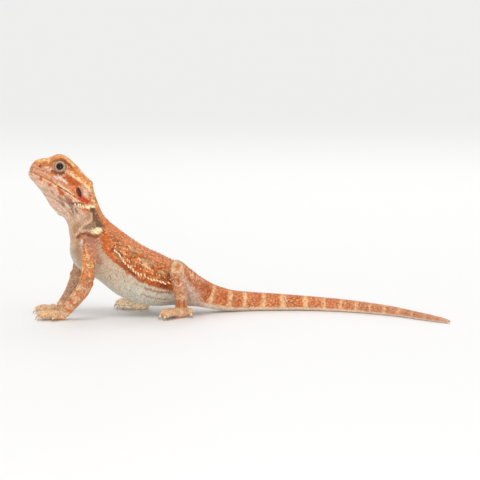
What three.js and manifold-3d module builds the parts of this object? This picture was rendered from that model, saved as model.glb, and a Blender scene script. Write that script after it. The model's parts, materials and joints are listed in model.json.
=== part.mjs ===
// A young bearded dragon (Pogona vitticeps), life size, standing with its front raised.
//
// Millimetres, +Z up. The animal faces -Y and its left side is +X. It is laid out in its
// own frame, with y = 0 at the hips and z = 0 at the floor, and the group is then moved so
// that the origin is at the middle of its base.
//
// Every fleshy part is a sweep: an oval section carried along a smooth line of stations.
// The parts meet at thin cuts, GAP wide.
import * as THREE from "three";
import { mergeVertices } from "three/addons/utils/BufferGeometryUtils.js";
import Module from "manifold-3d";

const wasm = await Module();
wasm.setup();

// ---------------------------------------------------------------- driving dimensions

const GAP = 0.3; // between neighbouring parts

// Stations down the body: [x, y, z, half-width, height above, depth below]. Their line is
// the mouth line on the head and the widest line of the flank on the trunk.
const SPINE = [
  [0, -89.0, 81.3, 1.6, 2.6, 1.7], // 0 tip of the snout
  [0, -88.0, 80.9, 4.1, 6.2, 3.2],
  [0, -86.0, 80.0, 5.5, 8.6, 4.2],
  [0, -83.0, 78.5, 6.7, 10.9, 5.6], // 3 nostrils
  [0, -77.5, 75.5, 8.7, 15.9, 8.1], // 4 front of the eyes
  [0, -71.0, 71.5, 10.9, 14.5, 11.9], // 5 back of the eyes
  [0, -64.5, 67.0, 12.6, 12.0, 13.6], // 6 ears
  [0, -60.5, 62.0, 11.4, 9.0, 12.9], // 7 nape
  [0, -58.0, 55.0, 9.8, 9.2, 10.7], // 8 neck
  [0, -55.5, 48.5, 10.4, 10.8, 12.8],
  [0, -51.0, 42.0, 13.4, 11.8, 18.7], // 10 shoulders
  [0, -41.0, 33.5, 16.4, 12.3, 17.2],
  [0, -31.0, 27.0, 17.8, 12.2, 18.5], // 12 widest part of the belly
  [0, -20.0, 22.0, 17.0, 11.9, 17.6],
  [0, -7.5, 18.0, 13.2, 9.8, 14.0], // 14 in front of the hips
  [0, 3.0, 13.5, 9.8, 7.3, 10.3], // 15 vent
  [-0.5, 12.5, 9.5, 7.6, 6.1, 7.4],
  [-2.0, 21.5, 6.5, 6.5, 5.9, 6.1],
  [-3.2, 29.6, 5.4, 5.8, 5.5, 5.4], // 18 the tail comes to the floor
  [-2.8, 40.4, 4.9, 5.1, 5.0, 4.9],
  [-1.2, 52.0, 4.5, 4.7, 4.6, 4.5],
  [2.2, 68.0, 3.9, 4.1, 4.0, 3.9],
  [9.4, 83.8, 3.4, 3.5, 3.6, 3.4],
  [19.4, 98.4, 2.9, 3.0, 3.1, 2.9],
  [32.6, 112.0, 2.4, 2.5, 2.5, 2.4],
  [48.6, 123.0, 1.9, 2.0, 1.9, 1.9],
  [57.0, 129.2, 1.5, 1.5, 1.5, 1.5],
  [62.0, 133.2, 1.0, 0.9, 0.9, 1.0], // 27 tip of the tail
];
const BODY_SQUARENESS = 2.3; // 2 is a true oval; more fills out its corners
// Where each part of the body starts and ends, as station numbers.
const BODY_PARTS = [
  { name: "neck", from: 6.75, to: 9.2, rings: 8, sides: 20 },
  { name: "trunk_front", from: 9.2, to: 12, rings: 10, sides: 22 },
  { name: "trunk_rear", from: 12, to: 15.6, rings: 11, sides: 22 },
  { name: "tail_1", from: 15.6, to: 18, rings: 7, sides: 16 },
  { name: "tail_2", from: 18, to: 20.5, rings: 6, sides: 14 },
  { name: "tail_3", from: 20.5, to: 22.5, rings: 6, sides: 12 },
  { name: "tail_4", from: 22.5, to: 24.5, rings: 6, sides: 12 },
  { name: "tail_5", from: 24.5, to: 27, rings: 8, sides: 10 },
];
const HEAD = { to: 6.75, rings: 16, sides: 22 };
const MOUTH_CORNER = 6.1; // station number
const JAW_LEAN = 0.35; // how far the jaw's back edge runs forward for each mm down
const JAW_BLOCK = { steps: 12, reach: 40 }; // reach: how far past the head it runs

// Swellings and hollows, on both sides: [x, y, z, reach, height]. Each pushes the surface
// out by its height (in, where that is negative) and fades away over its reach.
const SWELLINGS = [
  [3.4, -85.2, 85.2, 2.4, 0.4], // nostril
  [5.8, -80.4, 83.4, 3.4, -0.6], // hollow in front of the eye
  [7.4, -72.2, 83.8, 4.4, 1.3], // eyelids
  [4.6, -74.0, 87.6, 4.2, 1.6], // brow
  [9.8, -66.4, 78.4, 4.2, -0.5], // temple
  [4.6, -63.4, 82.6, 4.0, 0.7], // back of the brow
  [5.2, -55.2, 74.2, 3.8, 1.3], // corner of the crown
  [11.8, -61.0, 64.2, 5.2, 1.5], // jowl
  [8.6, -55.0, 56.0, 4.6, -1.3], // hollow behind the jowl
  [7.4, -64.4, 55.6, 5.4, 1.1], // beard
  [11.6, -54.4, 47.6, 3.2, 0.9], // fold in front of the shoulder
  [12.6, -50.6, 43.6, 5.4, 1.0], // shoulder
  [10.2, -1.6, 18.6, 6.0, 0.9], // hip
];

// The detail of a rounded shape is its count of facets round.
const EYE = { x: 5.9, y: -72.2, z: 83.6, radius: 3.5, detail: 12, socketDetail: 10 };
const EAR = { x: 12.7, y: -62.5, z: 70.0, half: [1.3, 1.3, 2.3], detail: 8 };
const NOSTRIL = { x: 4.3, y: -85.3, z: 84.6, half: [0.7, 0.6, 0.5], detail: 6 };

// Limbs: [x, y, z, radius]. The upper part runs from inside the body to the elbow or knee,
// and the lower part from there, with a round end, to inside the palm.
const LIMBS = [
  {
    parts: ["upper_arm_left", "forearm_left", "hand_left"],
    upper: [
      [8.5, -55.6, 42.0, 5.0],
      [13.2, -57.5, 36.0, 4.3],
      [16.6, -58.8, 29.2, 3.55],
      [18.0, -59.1, 22.8, 3.55],
    ],
    lower: [
      [17.9, -59.6, 21.9, 3.85],
      [17.2, -61.9, 16.8, 3.85],
      [15.2, -65.9, 11.4, 3.6],
      [13.0, -69.4, 6.8, 3.2],
      [12.2, -72.2, 3.4, 2.8],
    ],
  },
  {
    parts: ["upper_arm_right", "forearm_right", "hand_right"],
    upper: [
      [-8.5, -55.6, 42.0, 5.0],
      [-13.2, -58.0, 35.6, 4.7],
      [-16.4, -59.6, 27.6, 3.9],
      [-17.4, -60.6, 21.2, 3.9],
    ],
    lower: [
      [-17.4, -61.0, 20.4, 4.1],
      [-16.4, -62.8, 15.4, 4.1],
      [-14.6, -65.6, 10.4, 3.7],
      [-12.8, -68.8, 6.6, 3.2],
      [-12.2, -71.8, 3.4, 2.7],
    ],
  },
  {
    parts: ["thigh_left", "shin_left", "foot_left"],
    upper: [
      [4.0, 3.4, 12.6, 5.6],
      [9.8, 0.8, 16.2, 6.2],
      [15.2, -5.0, 22.8, 5.3],
      [18.8, -10.0, 28.3, 3.9],
    ],
    lower: [
      [18.9, -10.3, 28.9, 4.0],
      [18.9, -9.1, 20.4, 3.95],
      [17.2, -7.8, 13.4, 3.75],
      [15.0, -7.1, 7.8, 3.45],
      [14.2, -7.2, 3.8, 3.1],
    ],
  },
  {
    parts: ["thigh_right", "shin_right", "foot_right"],
    upper: [
      [-4.0, 2.4, 12.6, 5.6],
      [-10.0, -2.4, 16.4, 6.2],
      [-17.0, -11.4, 21.0, 5.3],
      [-21.6, -18.6, 24.0, 4.4],
    ],
    lower: [
      [-21.8, -18.4, 24.0, 4.8],
      [-21.8, -20.6, 18.0, 4.4],
      [-20.2, -22.4, 12.4, 4.0],
      [-18.2, -23.8, 7.8, 3.6],
      [-17.6, -24.4, 3.8, 3.1],
    ],
  },
];
const LIMB_RINGS = 5;
const LIMB_SIDES = 10;
const JOINT_DETAIL = 8; // facets round a joint's ball
// The stretch of the body, in stations, that the limbs are cut back from.
const LIMB_BEARING = { from: 8.5, to: 16.5, rings: 20, sides: 22 };

// Hands and feet. A palm runs from its heel along its heading, the angle it points outwards
// from straight ahead. Its section is [fraction of the length, half-width, half-height].
const PALM_SECTIONS = [
  [0.0, 1.8, 1.6],
  [0.15, 2.8, 2.3],
  [0.5, 3.3, 2.6],
  [0.85, 3.3, 2.6],
  [1.05, 2.5, 2.0],
];
// A digit: [fraction along the palm, offset outwards, angle outwards, length, radius].
const HAND_DIGITS = [
  [0.66, -1.8, -44, 4.8, 1.35],
  [0.9, -1.5, -20, 6.8, 1.45],
  [0.98, 0.1, 0, 7.8, 1.5],
  [0.92, 1.7, 21, 7.0, 1.45],
  [0.56, 1.8, 68, 5.4, 1.45],
];
const FOOT_DIGITS = [
  [0.8, -2.0, -34, 5.0, 1.35],
  [0.92, -1.5, -17, 7.2, 1.45],
  [1.0, 0.1, 0, 9.2, 1.5],
  [0.94, 1.8, 16, 10.8, 1.5],
  [0.2, 1.6, 74, 5.2, 1.45],
];
const HAND = { palm: 8.0, height: 1.0, digits: HAND_DIGITS };
const FOOT = { palm: 10.4, height: 1.15, digits: FOOT_DIGITS };
const FEET = {
  hand_left: { ...HAND, heel: [12.4, -70.4], heading: -12, out: 1 },
  hand_right: { ...HAND, height: 0.88, heel: [-12.6, -69.6], heading: 2, out: -1 },
  foot_left: { ...FOOT, heel: [11.6, -2.6], heading: 30, out: 1 },
  foot_right: { ...FOOT, heel: [-16.0, -21.0], heading: 26, out: -1 },
};
// A digit arches: [fraction of its length, height of its middle over the floor, thickness].
const DIGIT_ARCH = [
  [-0.3, 2.5, 1.0],
  [0.1, 2.9, 1.25],
  [0.55, 3.2, 1.25],
  [0.85, 2.8, 1.2],
  [1.0, 2.0, 0.95],
];
const DIGIT_RINGS = 5;
const DIGIT_SIDES = 6;
const PALM_RINGS = 6;
const PALM_SIDES = 8;
const SOLE_SINK = 0.35; // how deep a rounded sole is cut off to make its flat
const CLAW = { length: 1.45, base: 0.8, tip: 0.2, arch: 0.4, sides: 5, rings: 3 };

// ---------------------------------------------------------------- materials

const skin = (hex) => new THREE.MeshStandardMaterial({ color: hex, roughness: 0.7, metalness: 0 });
const ORANGE = skin(0xd07a45);
const TAN = skin(0xd9a275);
const CREAM = skin(0xe6c7a2);
const EYE_BLACK = new THREE.MeshStandardMaterial({ color: 0x1c1512, roughness: 0.15, metalness: 0 });
const CLAW_HORN = new THREE.MeshStandardMaterial({ color: 0x8a7a68, roughness: 0.4, metalness: 0 });

// ---------------------------------------------------------------- solids

function manifoldOf(geometry) {
  const plain = geometry.clone();
  plain.deleteAttribute("normal");
  plain.deleteAttribute("uv");
  const merged = mergeVertices(plain, 1e-4);
  return new wasm.Manifold(
    new wasm.Mesh({
      numProp: 3,
      vertProperties: merged.attributes.position.array,
      triVerts: new Uint32Array(merged.index.array),
    }),
  );
}

function geometryOf(solid) {
  const mesh = solid.getMesh();
  const geometry = new THREE.BufferGeometry();
  geometry.setAttribute("position", new THREE.BufferAttribute(mesh.vertProperties, 3));
  geometry.setIndex(new THREE.BufferAttribute(mesh.triVerts, 1));
  geometry.computeVertexNormals();
  return geometry;
}

const join = (solids) => solids.reduce((whole, solid) => whole.add(solid));

// How far the swellings and hollows push a point of the surface out.
function swelling(point) {
  let push = 0;
  for (const [x, y, z, reach, height] of SWELLINGS) {
    const distance = Math.hypot(Math.abs(point.x) - x, point.y - y, point.z - z);
    push += height * Math.exp(-((distance / reach) ** 2));
  }
  return push;
}

// An oval section carried along a smooth line. Stations are [x, y, z, side, above, below].
// The section's width lies as near to the across direction as the line allows.
class Sweep {
  constructor(stations, across, squareness = 2, push = () => 0) {
    Object.assign(this, { across, squareness, push, last: stations.length - 1 });
    const curve = (at) => {
      const points = stations.map((s) => new THREE.Vector3(s[at], s[at + 1], s[at + 2]));
      return new THREE.CatmullRomCurve3(points, false, "catmullrom", 0.5);
    };
    this.line = curve(0);
    this.size = curve(3);
  }

  frame(station) {
    const t = THREE.MathUtils.clamp(station / this.last, 0, 1);
    const along = this.line.getTangent(t);
    const above = this.across.clone().cross(along).normalize();
    const across = along.clone().cross(above);
    return { centre: this.line.getPoint(t), size: this.size.getPoint(t), along, above, across };
  }

  ring(station, sides, grow) {
    const { centre, size, above, across } = this.frame(station);
    const power = 2 / this.squareness;
    const rounded = (value) => Math.sign(value) * Math.abs(value) ** power;
    return Array.from({ length: sides }, (_, i) => {
      const angle = (2 * Math.PI * (i + 0.5)) / sides;
      const width = rounded(Math.cos(angle));
      const rise = rounded(Math.sin(angle));
      const offset = across.clone().multiplyScalar(size.x * width);
      offset.addScaledVector(above, (rise > 0 ? size.y : size.z) * rise);
      const point = centre.clone().add(offset);
      return point.addScaledVector(offset.normalize(), grow + this.push(point));
    });
  }

  // The closed solid from one station to another, with flat ends.
  solid(from, to, rings, sides, grow = 0) {
    const station = (i) => from + ((to - from) * i) / (rings - 1);
    return loft(Array.from({ length: rings }, (_, i) => this.ring(station(i), sides, grow)));
  }

  // How many stations a length is, near one station.
  stationsFor(length, station) {
    const step = 0.05;
    const low = this.frame(station - step).centre;
    return (length * 2 * step) / low.distanceTo(this.frame(station + step).centre);
  }
}

// The closed solid through rings of points, all with the same count.
function loft(loops) {
  const sides = loops[0].length;
  const middle = (loop) => loop.reduce((sum, p) => sum.add(p), new THREE.Vector3()).divideScalar(sides);
  const points = [...loops.flat(), middle(loops[0]), middle(loops.at(-1))];
  const start = points.length - 2;
  const end = (loops.length - 1) * sides;
  const index = [];
  for (let j = 0; j < sides; j++) {
    const next = (j + 1) % sides;
    for (let i = 0; i < end; i += sides) {
      index.push(i + j, i + sides + j, i + next, i + next, i + sides + j, i + sides + next);
    }
    index.push(start, j, next, start + 1, end + next, end + j);
  }
  const geometry = new THREE.BufferGeometry().setFromPoints(points);
  geometry.setIndex(index);
  const solid = manifoldOf(geometry);
  if (solid.volume() > 0) return solid;
  geometry.setIndex(index.reverse());
  return manifoldOf(geometry);
}

const LEFT = new THREE.Vector3(1, 0, 0);
const RIGHT = new THREE.Vector3(-1, 0, 0);
const SIDES = [["left", 1], ["right", -1]];

// An oval with the given half-sizes at a place on one side.
function oval({ x, y, z }, half, side, detail) {
  const shape = new THREE.SphereGeometry(1, detail, Math.ceil(detail * 0.6));
  return manifoldOf(shape.rotateZ(Math.PI / 2).scale(...half).translate(side * x, y, z));
}

// All that is below the floor, which is cut away to leave flats on the soles and the tail.
const FLOOR_DEPTH = 40;
const FLOOR = manifoldOf(
  new THREE.BoxGeometry(400, 400, FLOOR_DEPTH).translate(0, 0, -FLOOR_DEPTH / 2),
);

// ---------------------------------------------------------------- the animal

const animal = new THREE.Group();

function place(name, solid, material) {
  const mesh = new THREE.Mesh(geometryOf(solid), material);
  mesh.name = name;
  animal.add(mesh);
}

const spine = new Sweep(SPINE, LEFT, BODY_SQUARENESS, swelling);

// The block below the mouth line that holds the lower jaw. Grown by half the gap it is cut
// from the skull, and shrunk by as much it is kept as the jaw, which leaves the gap between.
function jawBlock(grow) {
  const { steps, reach } = JAW_BLOCK;
  const points = [];
  for (let i = 0; i <= steps; i++) {
    const { centre, above } = spine.frame((MOUTH_CORNER * i) / steps);
    points.push([centre.y + above.y * grow, centre.z + above.z * grow]);
  }
  const [frontY, frontZ] = points[0];
  const [backY, backZ] = points.at(-1);
  points.unshift([frontY - reach, frontZ]);
  points.push([backY + grow, backZ], [backY + grow - reach * JAW_LEAN, backZ - reach]);
  points.push([frontY - reach, backZ - reach]);
  const outline = new THREE.Shape(points.map(([y, z]) => new THREE.Vector2(y, z)));
  const block = new THREE.ExtrudeGeometry(outline, { depth: 2 * reach, bevelEnabled: false });
  block.translate(0, 0, -reach);
  // The outline was drawn in X and Y; it stands in Y and Z.
  block.applyMatrix4(new THREE.Matrix4().makeBasis(
    new THREE.Vector3(0, 1, 0),
    new THREE.Vector3(0, 0, 1),
    new THREE.Vector3(1, 0, 0),
  ));
  return manifoldOf(block);
}

function buildHead() {
  const dents = [];
  for (const [sideName, side] of SIDES) {
    const ball = Array(3).fill(EYE.radius);
    const socket = Array(3).fill(EYE.radius + GAP);
    dents.push(oval(EYE, socket, side, EYE.socketDetail));
    dents.push(oval(EAR, EAR.half, side, EAR.detail));
    dents.push(oval(NOSTRIL, NOSTRIL.half, side, NOSTRIL.detail));
    place(`eye_${sideName}`, oval(EYE, ball, side, EYE.detail), EYE_BLACK);
  }
  const end = HEAD.to - spine.stationsFor(GAP / 2, HEAD.to);
  const head = spine.solid(0, end, HEAD.rings, HEAD.sides).subtract(join(dents));
  place("skull", head.subtract(jawBlock(GAP / 2)), ORANGE);
  place("jaw", head.intersect(jawBlock(-GAP / 2)), CREAM);
}

function buildBody() {
  for (const { name, from, to, rings, sides } of BODY_PARTS) {
    const start = from + spine.stationsFor(GAP / 2, from);
    const end = to === spine.last ? to : to - spine.stationsFor(GAP / 2, to);
    const solid = spine.solid(start, end, rings, sides).subtract(FLOOR);
    place(name, solid, name === "neck" ? CREAM : ORANGE);
  }
}

// A hand or foot: the end of its limb, the palm and five digits, with a claw on each digit.
function buildFoot(name, limbEnd) {
  const { heel, heading, out, palm, height, digits } = FEET[name];
  const towards = (degrees) => {
    const angle = THREE.MathUtils.degToRad(degrees);
    return new THREE.Vector3(out * Math.sin(angle), -Math.cos(angle), 0);
  };
  const ahead = towards(heading);
  const outwards = towards(heading + 90);
  const onPalm = (fraction) =>
    new THREE.Vector3(...heel, 0).addScaledVector(ahead, fraction * palm);

  const palmStations = PALM_SECTIONS.map(([fraction, width, half]) => {
    const { x, y } = onPalm(fraction);
    return [x, y, half * height - SOLE_SINK, width, half * height, half * height];
  });
  const palmSweep = new Sweep(palmStations, outwards.clone().multiplyScalar(-out));
  const solids = [limbEnd, palmSweep.solid(0, palmSweep.last, PALM_RINGS, PALM_SIDES)];
  const clearances = [];

  digits.forEach(([fraction, offset, angle, length, radius], number) => {
    const along = towards(heading + angle);
    const root = onPalm(fraction).addScaledVector(outwards, offset);
    const stations = DIGIT_ARCH.map(([reach, rise, thick]) => {
      const { x, y } = root.clone().addScaledVector(along, reach * length);
      return [x, y, rise * height, radius * thick, radius * thick, radius * thick];
    });
    const across = towards(heading + angle + 90).multiplyScalar(-out);
    const digit = new Sweep(stations, across);
    solids.push(digit.solid(0, digit.last, DIGIT_RINGS, DIGIT_SIDES));
    const horn = clawSweep(digit.frame(digit.last), along, across);
    const claw = horn.solid(0, horn.last, CLAW.rings, CLAW.sides);
    clearances.push(horn.solid(0, horn.last, CLAW.rings, CLAW.sides, GAP));
    place(`${name}_claw_${number + 1}`, claw.subtract(FLOOR), CLAW_HORN);
  });
  place(name, join(solids).subtract(join([FLOOR, ...clearances])), TAN);
}

// A claw starts one gap beyond the tip of its digit and curves down to the floor.
function clawSweep(tip, along, across) {
  const start = tip.centre.clone().addScaledVector(tip.along, GAP);
  const stations = Array.from({ length: CLAW.rings }, (_, i) => {
    const fraction = i / (CLAW.rings - 1);
    const radius = THREE.MathUtils.lerp(CLAW.base, CLAW.tip, fraction);
    const point = start.clone().addScaledVector(along, CLAW.length * fraction);
    const arch = CLAW.arch * Math.sin(Math.PI * fraction);
    const height = THREE.MathUtils.lerp(start.z, radius, fraction) + arch;
    return [point.x, point.y, height, radius, radius, radius];
  });
  return new Sweep(stations, across);
}

function buildLimb({ parts, upper, lower }) {
  const [upperSweep, lowerSweep] = [upper, lower].map(
    (stations) => new Sweep(stations.map(([x, y, z, r]) => [x, y, z, r, r, r]), RIGHT),
  );
  const wrist = lowerSweep.last - 1;
  const halfGap = lowerSweep.stationsFor(GAP / 2, wrist);
  // The round joint and the shaft below it.
  const shaft = (grow) => {
    const [x, y, z, radius] = lower[0];
    const joint = oval({ x, y, z }, Array(3).fill(radius + grow), 1, JOINT_DETAIL);
    return joint.add(lowerSweep.solid(0, wrist - halfGap, LIMB_RINGS, LIMB_SIDES, grow));
  };
  const { from, to, rings, sides } = LIMB_BEARING;
  const trunk = spine.solid(from, to, rings, sides, GAP);
  const root = upperSweep.solid(0, upperSweep.last, LIMB_RINGS, LIMB_SIDES);
  const [rootName, shaftName, footName] = parts;
  place(rootName, root.subtract(join([trunk, shaft(GAP)])), TAN);
  place(shaftName, shaft(0).subtract(trunk), TAN);
  buildFoot(footName, lowerSweep.solid(wrist + halfGap, lowerSweep.last, 2, LIMB_SIDES));
}

buildHead();
buildBody();
LIMBS.forEach(buildLimb);

// The part's origin is the middle of the bottom of its box.
const box = new THREE.Box3().setFromObject(animal);
const middle = box.getCenter(new THREE.Vector3());
animal.position.set(-middle.x, -middle.y, -box.min.z);

const part = new THREE.Group();
part.add(animal);
export default part;
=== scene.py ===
"""The looks of the young bearded dragon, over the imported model.

Shapes are worked out in millimetres in the animal's own frame: it faces -Y, its left is +X,
y = 0 is at the hips and z = 0 at the floor. to_row() takes them to the row's frame, in
metres. One skin replaces the fleshy nodes, and scales and spikes stand on it.
"""
import json

import bmesh
import bpy
import numpy as np
import openvdb
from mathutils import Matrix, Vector
from mathutils.bvhtree import BVHTree
from mathutils.kdtree import KDTree

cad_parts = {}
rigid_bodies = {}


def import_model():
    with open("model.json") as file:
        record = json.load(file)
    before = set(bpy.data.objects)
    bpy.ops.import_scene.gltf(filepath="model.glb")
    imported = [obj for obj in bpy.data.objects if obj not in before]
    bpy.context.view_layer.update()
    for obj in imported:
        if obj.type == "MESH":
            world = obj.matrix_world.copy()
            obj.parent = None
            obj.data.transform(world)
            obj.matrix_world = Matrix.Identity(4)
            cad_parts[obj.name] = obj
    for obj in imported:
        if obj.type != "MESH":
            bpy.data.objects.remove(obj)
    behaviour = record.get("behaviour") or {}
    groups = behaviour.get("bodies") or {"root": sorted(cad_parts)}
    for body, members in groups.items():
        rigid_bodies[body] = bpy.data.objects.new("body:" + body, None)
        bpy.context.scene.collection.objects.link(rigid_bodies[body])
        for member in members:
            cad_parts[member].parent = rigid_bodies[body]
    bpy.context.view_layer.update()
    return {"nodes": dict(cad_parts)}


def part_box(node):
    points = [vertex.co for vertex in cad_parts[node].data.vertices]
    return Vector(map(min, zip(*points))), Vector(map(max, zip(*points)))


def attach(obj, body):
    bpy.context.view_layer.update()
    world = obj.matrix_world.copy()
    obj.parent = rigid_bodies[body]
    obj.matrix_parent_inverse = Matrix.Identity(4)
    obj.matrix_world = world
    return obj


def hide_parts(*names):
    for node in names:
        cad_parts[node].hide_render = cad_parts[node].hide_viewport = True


for left_over in list(bpy.data.objects):
    bpy.data.objects.remove(left_over)
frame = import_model()

# ------------------------------------------------------------------ the body's sizes, mm

# Stations down the body: x, y, z, half-width, height above, depth below. Their line is the
# mouth line on the head and the widest line of the flank on the trunk.
SPINE = [
    [0, -89.0, 81.3, 1.6, 2.6, 1.7],  # 0 tip of the snout
    [0, -88.0, 80.9, 4.1, 6.2, 3.2],
    [0, -86.0, 80.0, 5.5, 8.6, 4.2],
    [0, -83.0, 78.5, 6.7, 10.9, 5.6],  # 3 nostrils
    [0, -77.5, 75.5, 8.7, 15.9, 8.1],
    [0, -71.0, 71.5, 10.9, 14.5, 11.9],  # 5 back of the eyes
    [0, -64.5, 67.0, 12.6, 12.0, 13.6],  # 6 ears
    [0, -60.5, 62.0, 11.4, 9.0, 12.9],
    [0, -58.0, 55.0, 9.8, 9.2, 10.7],  # 8 neck
    [0, -55.5, 48.5, 10.4, 10.8, 12.8],
    [0, -51.0, 42.0, 13.4, 11.8, 18.7],  # 10 shoulders
    [0, -41.0, 33.5, 16.4, 12.3, 17.2],
    [0, -31.0, 27.0, 17.8, 12.2, 18.5],  # 12 widest part of the belly
    [0, -20.0, 22.0, 17.0, 11.9, 17.6],
    [0, -7.5, 18.0, 13.2, 9.8, 14.0],
    [0, 3.0, 13.5, 9.8, 7.3, 10.3],  # 15 vent
    [-0.5, 12.5, 9.5, 7.6, 6.1, 7.4],
    [-2.0, 21.5, 6.5, 6.5, 5.9, 6.1],
    [-3.2, 29.6, 5.4, 5.8, 5.5, 5.4],
    [-2.8, 40.4, 4.9, 5.1, 5.0, 4.9],
    [-1.2, 52.0, 4.5, 4.7, 4.6, 4.5],  # 20 middle of the tail
    [2.2, 68.0, 3.9, 4.1, 4.0, 3.9],
    [9.4, 83.8, 3.4, 3.5, 3.6, 3.4],
    [19.4, 98.4, 2.9, 3.0, 3.1, 2.9],
    [32.6, 112.0, 2.4, 2.5, 2.5, 2.4],
    [48.6, 123.0, 1.9, 2.0, 1.9, 1.9],
    [57.0, 129.2, 1.5, 1.5, 1.5, 1.5],
    [62.0, 133.2, 1.0, 0.9, 0.9, 1.0],  # 27 tip of the tail
]
BODY_SQUARENESS = 2.3

# Swellings and hollows on both sides: x, y, z, reach, height.
SWELLINGS = [
    [3.4, -85.2, 85.2, 2.4, 0.4],  # nostril
    [5.8, -80.4, 83.4, 3.4, -0.6],  # hollow in front of the eye
    [7.4, -72.2, 83.8, 4.4, 1.3],  # eyelids
    [4.6, -74.0, 87.6, 4.2, 1.6],  # brow
    [9.8, -66.4, 78.4, 4.2, -0.5],  # temple
    [4.6, -63.4, 82.6, 4.0, 0.7],  # back of the brow
    [5.2, -55.2, 74.2, 3.8, 1.3],  # corner of the crown
    [11.8, -61.0, 64.2, 5.2, 1.5],  # jowl
    [8.6, -55.0, 56.0, 4.6, -1.3],  # hollow behind the jowl
    [7.4, -64.4, 55.6, 5.4, 1.1],  # beard
    [11.6, -54.4, 47.6, 3.2, 0.9],  # fold in front of the shoulder
    [12.6, -50.6, 43.6, 5.4, 1.0],  # shoulder
    [10.2, -1.6, 18.6, 6.0, 0.9],  # hip
]

EYE = np.array([5.9, -72.2, 83.6])
EYE_RADIUS = 3.5
LID_RADIUS = 3.85
EYE_AXIS = np.array([0.955, -0.235, 0.18])  # where the left eye looks

# Limbs: x, y, z, radius, down to the elbow or knee and from there into the palm.
LIMBS = {
    "hand_left": (
        [[8.5, -55.6, 42.0, 5.0], [13.2, -57.5, 36.0, 4.3], [16.6, -58.8, 29.2, 3.55],
         [18.0, -59.1, 22.8, 3.55]],
        [[17.9, -59.6, 21.9, 3.85], [17.2, -61.9, 16.8, 3.85], [15.2, -65.9, 11.4, 3.6],
         [13.0, -69.4, 6.8, 3.2], [12.2, -72.2, 3.4, 2.8]],
    ),
    "hand_right": (
        [[-8.5, -55.6, 42.0, 5.0], [-13.2, -58.0, 35.6, 4.7], [-16.4, -59.6, 27.6, 3.9],
         [-17.4, -60.6, 21.2, 3.9]],
        [[-17.4, -61.0, 20.4, 4.1], [-16.4, -62.8, 15.4, 4.1], [-14.6, -65.6, 10.4, 3.7],
         [-12.8, -68.8, 6.6, 3.2], [-12.2, -71.8, 3.4, 2.7]],
    ),
    "foot_left": (
        [[4.0, 3.4, 12.6, 5.6], [9.8, 0.8, 16.2, 6.2], [15.2, -5.0, 22.8, 5.3],
         [18.8, -10.0, 28.3, 3.9]],
        [[18.9, -10.3, 28.9, 4.0], [18.9, -9.1, 20.4, 3.95], [17.2, -7.8, 13.4, 3.75],
         [15.0, -7.1, 7.8, 3.45], [14.2, -7.2, 3.8, 3.1]],
    ),
    "foot_right": (
        [[-4.0, 2.4, 12.6, 5.6], [-10.0, -2.4, 16.4, 6.2], [-17.0, -11.4, 21.0, 5.3],
         [-21.6, -18.6, 24.0, 4.4]],
        [[-21.8, -18.4, 24.0, 4.8], [-21.8, -20.6, 18.0, 4.4], [-20.2, -22.4, 12.4, 4.0],
         [-18.2, -23.8, 7.8, 3.6], [-17.6, -24.4, 3.8, 3.1]],
    ),
}

# Hands and feet. Palm sections: fraction of its length, half-width, half-height.
PALM_SECTIONS = [[0, 1.8, 1.6], [0.15, 2.8, 2.3], [0.5, 3.3, 2.6], [0.85, 3.3, 2.6],
                 [1.05, 2.5, 2.0]]
# Digits: fraction along the palm, offset outwards, angle outwards, length, radius.
HAND_DIGITS = [[0.66, -1.8, -44, 4.8, 1.35], [0.9, -1.5, -20, 6.8, 1.45],
               [0.98, 0.1, 0, 7.8, 1.5], [0.92, 1.7, 21, 7.0, 1.45],
               [0.56, 1.8, 68, 5.4, 1.45]]
FOOT_DIGITS = [[0.8, -2.0, -34, 5.0, 1.35], [0.92, -1.5, -17, 7.2, 1.45],
               [1.0, 0.1, 0, 9.2, 1.5], [0.94, 1.8, 16, 10.8, 1.5],
               [0.2, 1.6, 74, 5.2, 1.45]]
# A digit's arch: fraction of its length, height of its middle, thickness.
DIGIT_ARCH = [[-0.3, 2.5, 1.0], [0.1, 2.9, 1.25], [0.55, 3.2, 1.25], [0.85, 2.8, 1.2],
              [1.0, 2.0, 0.95]]
# Each foot: heel x and y, heading, side, palm length, height factor, digits.
FEET = {
    "hand_left": ([12.4, -70.4], -12, 1, 8.0, 1.0, HAND_DIGITS),
    "hand_right": ([-12.6, -69.6], 2, -1, 8.0, 0.88, HAND_DIGITS),
    "foot_left": ([11.6, -2.6], 30, 1, 10.4, 1.15, FOOT_DIGITS),
    "foot_right": ([-16.0, -21.0], 26, -1, 10.4, 1.15, FOOT_DIGITS),
}
SOLE_SINK = 0.35
CLAW_LENGTH = 1.45
CLAW_BASE = 0.8
CLAW_TIP = 0.12
CLAW_ARCH = 0.5
CLAW_GAP = 0.1

COAT_DEPTH = 0.28  # how far the skin lies inside the solids
SKIN_FLOOR = 0.08  # the lowest that the skin, the scales and the claws reach
SCALE_FLOOR = 0.02
CLAW_FLOOR = 0.01
SKIN_PAINTED_SHADE = 0.72  # painted shade: how light the skin between the scales is, as a share of theirs
VOXEL = 0.65
BAND = 7  # half-width of the distance field, in voxels

LEFT = [1, 0, 0]
RIGHT = [-1, 0, 0]

low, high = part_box("eye_left")
SHIFT = np.array((low + high) / 2) - EYE * 0.001


def to_row(points):
    """Places in the animal's frame, in mm, as places in the row's frame, in metres."""
    return np.asarray(points) * 0.001 + SHIFT


def unit(vectors):
    """Vectors made one long."""
    return vectors / np.maximum(np.linalg.norm(vectors, axis=-1, keepdims=True), 1e-9)


def to_left(points):
    """Places on either side as their places on the left."""
    return points * [0, 1, 1] + np.abs(points * [1, 0, 0])


def step(low_edge, high_edge, values):
    """A smooth step from 0 at low_edge to 1 at high_edge."""
    x = np.clip((values - low_edge) / (high_edge - low_edge), 0, 1)
    return x * x * (3 - 2 * x)


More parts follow.
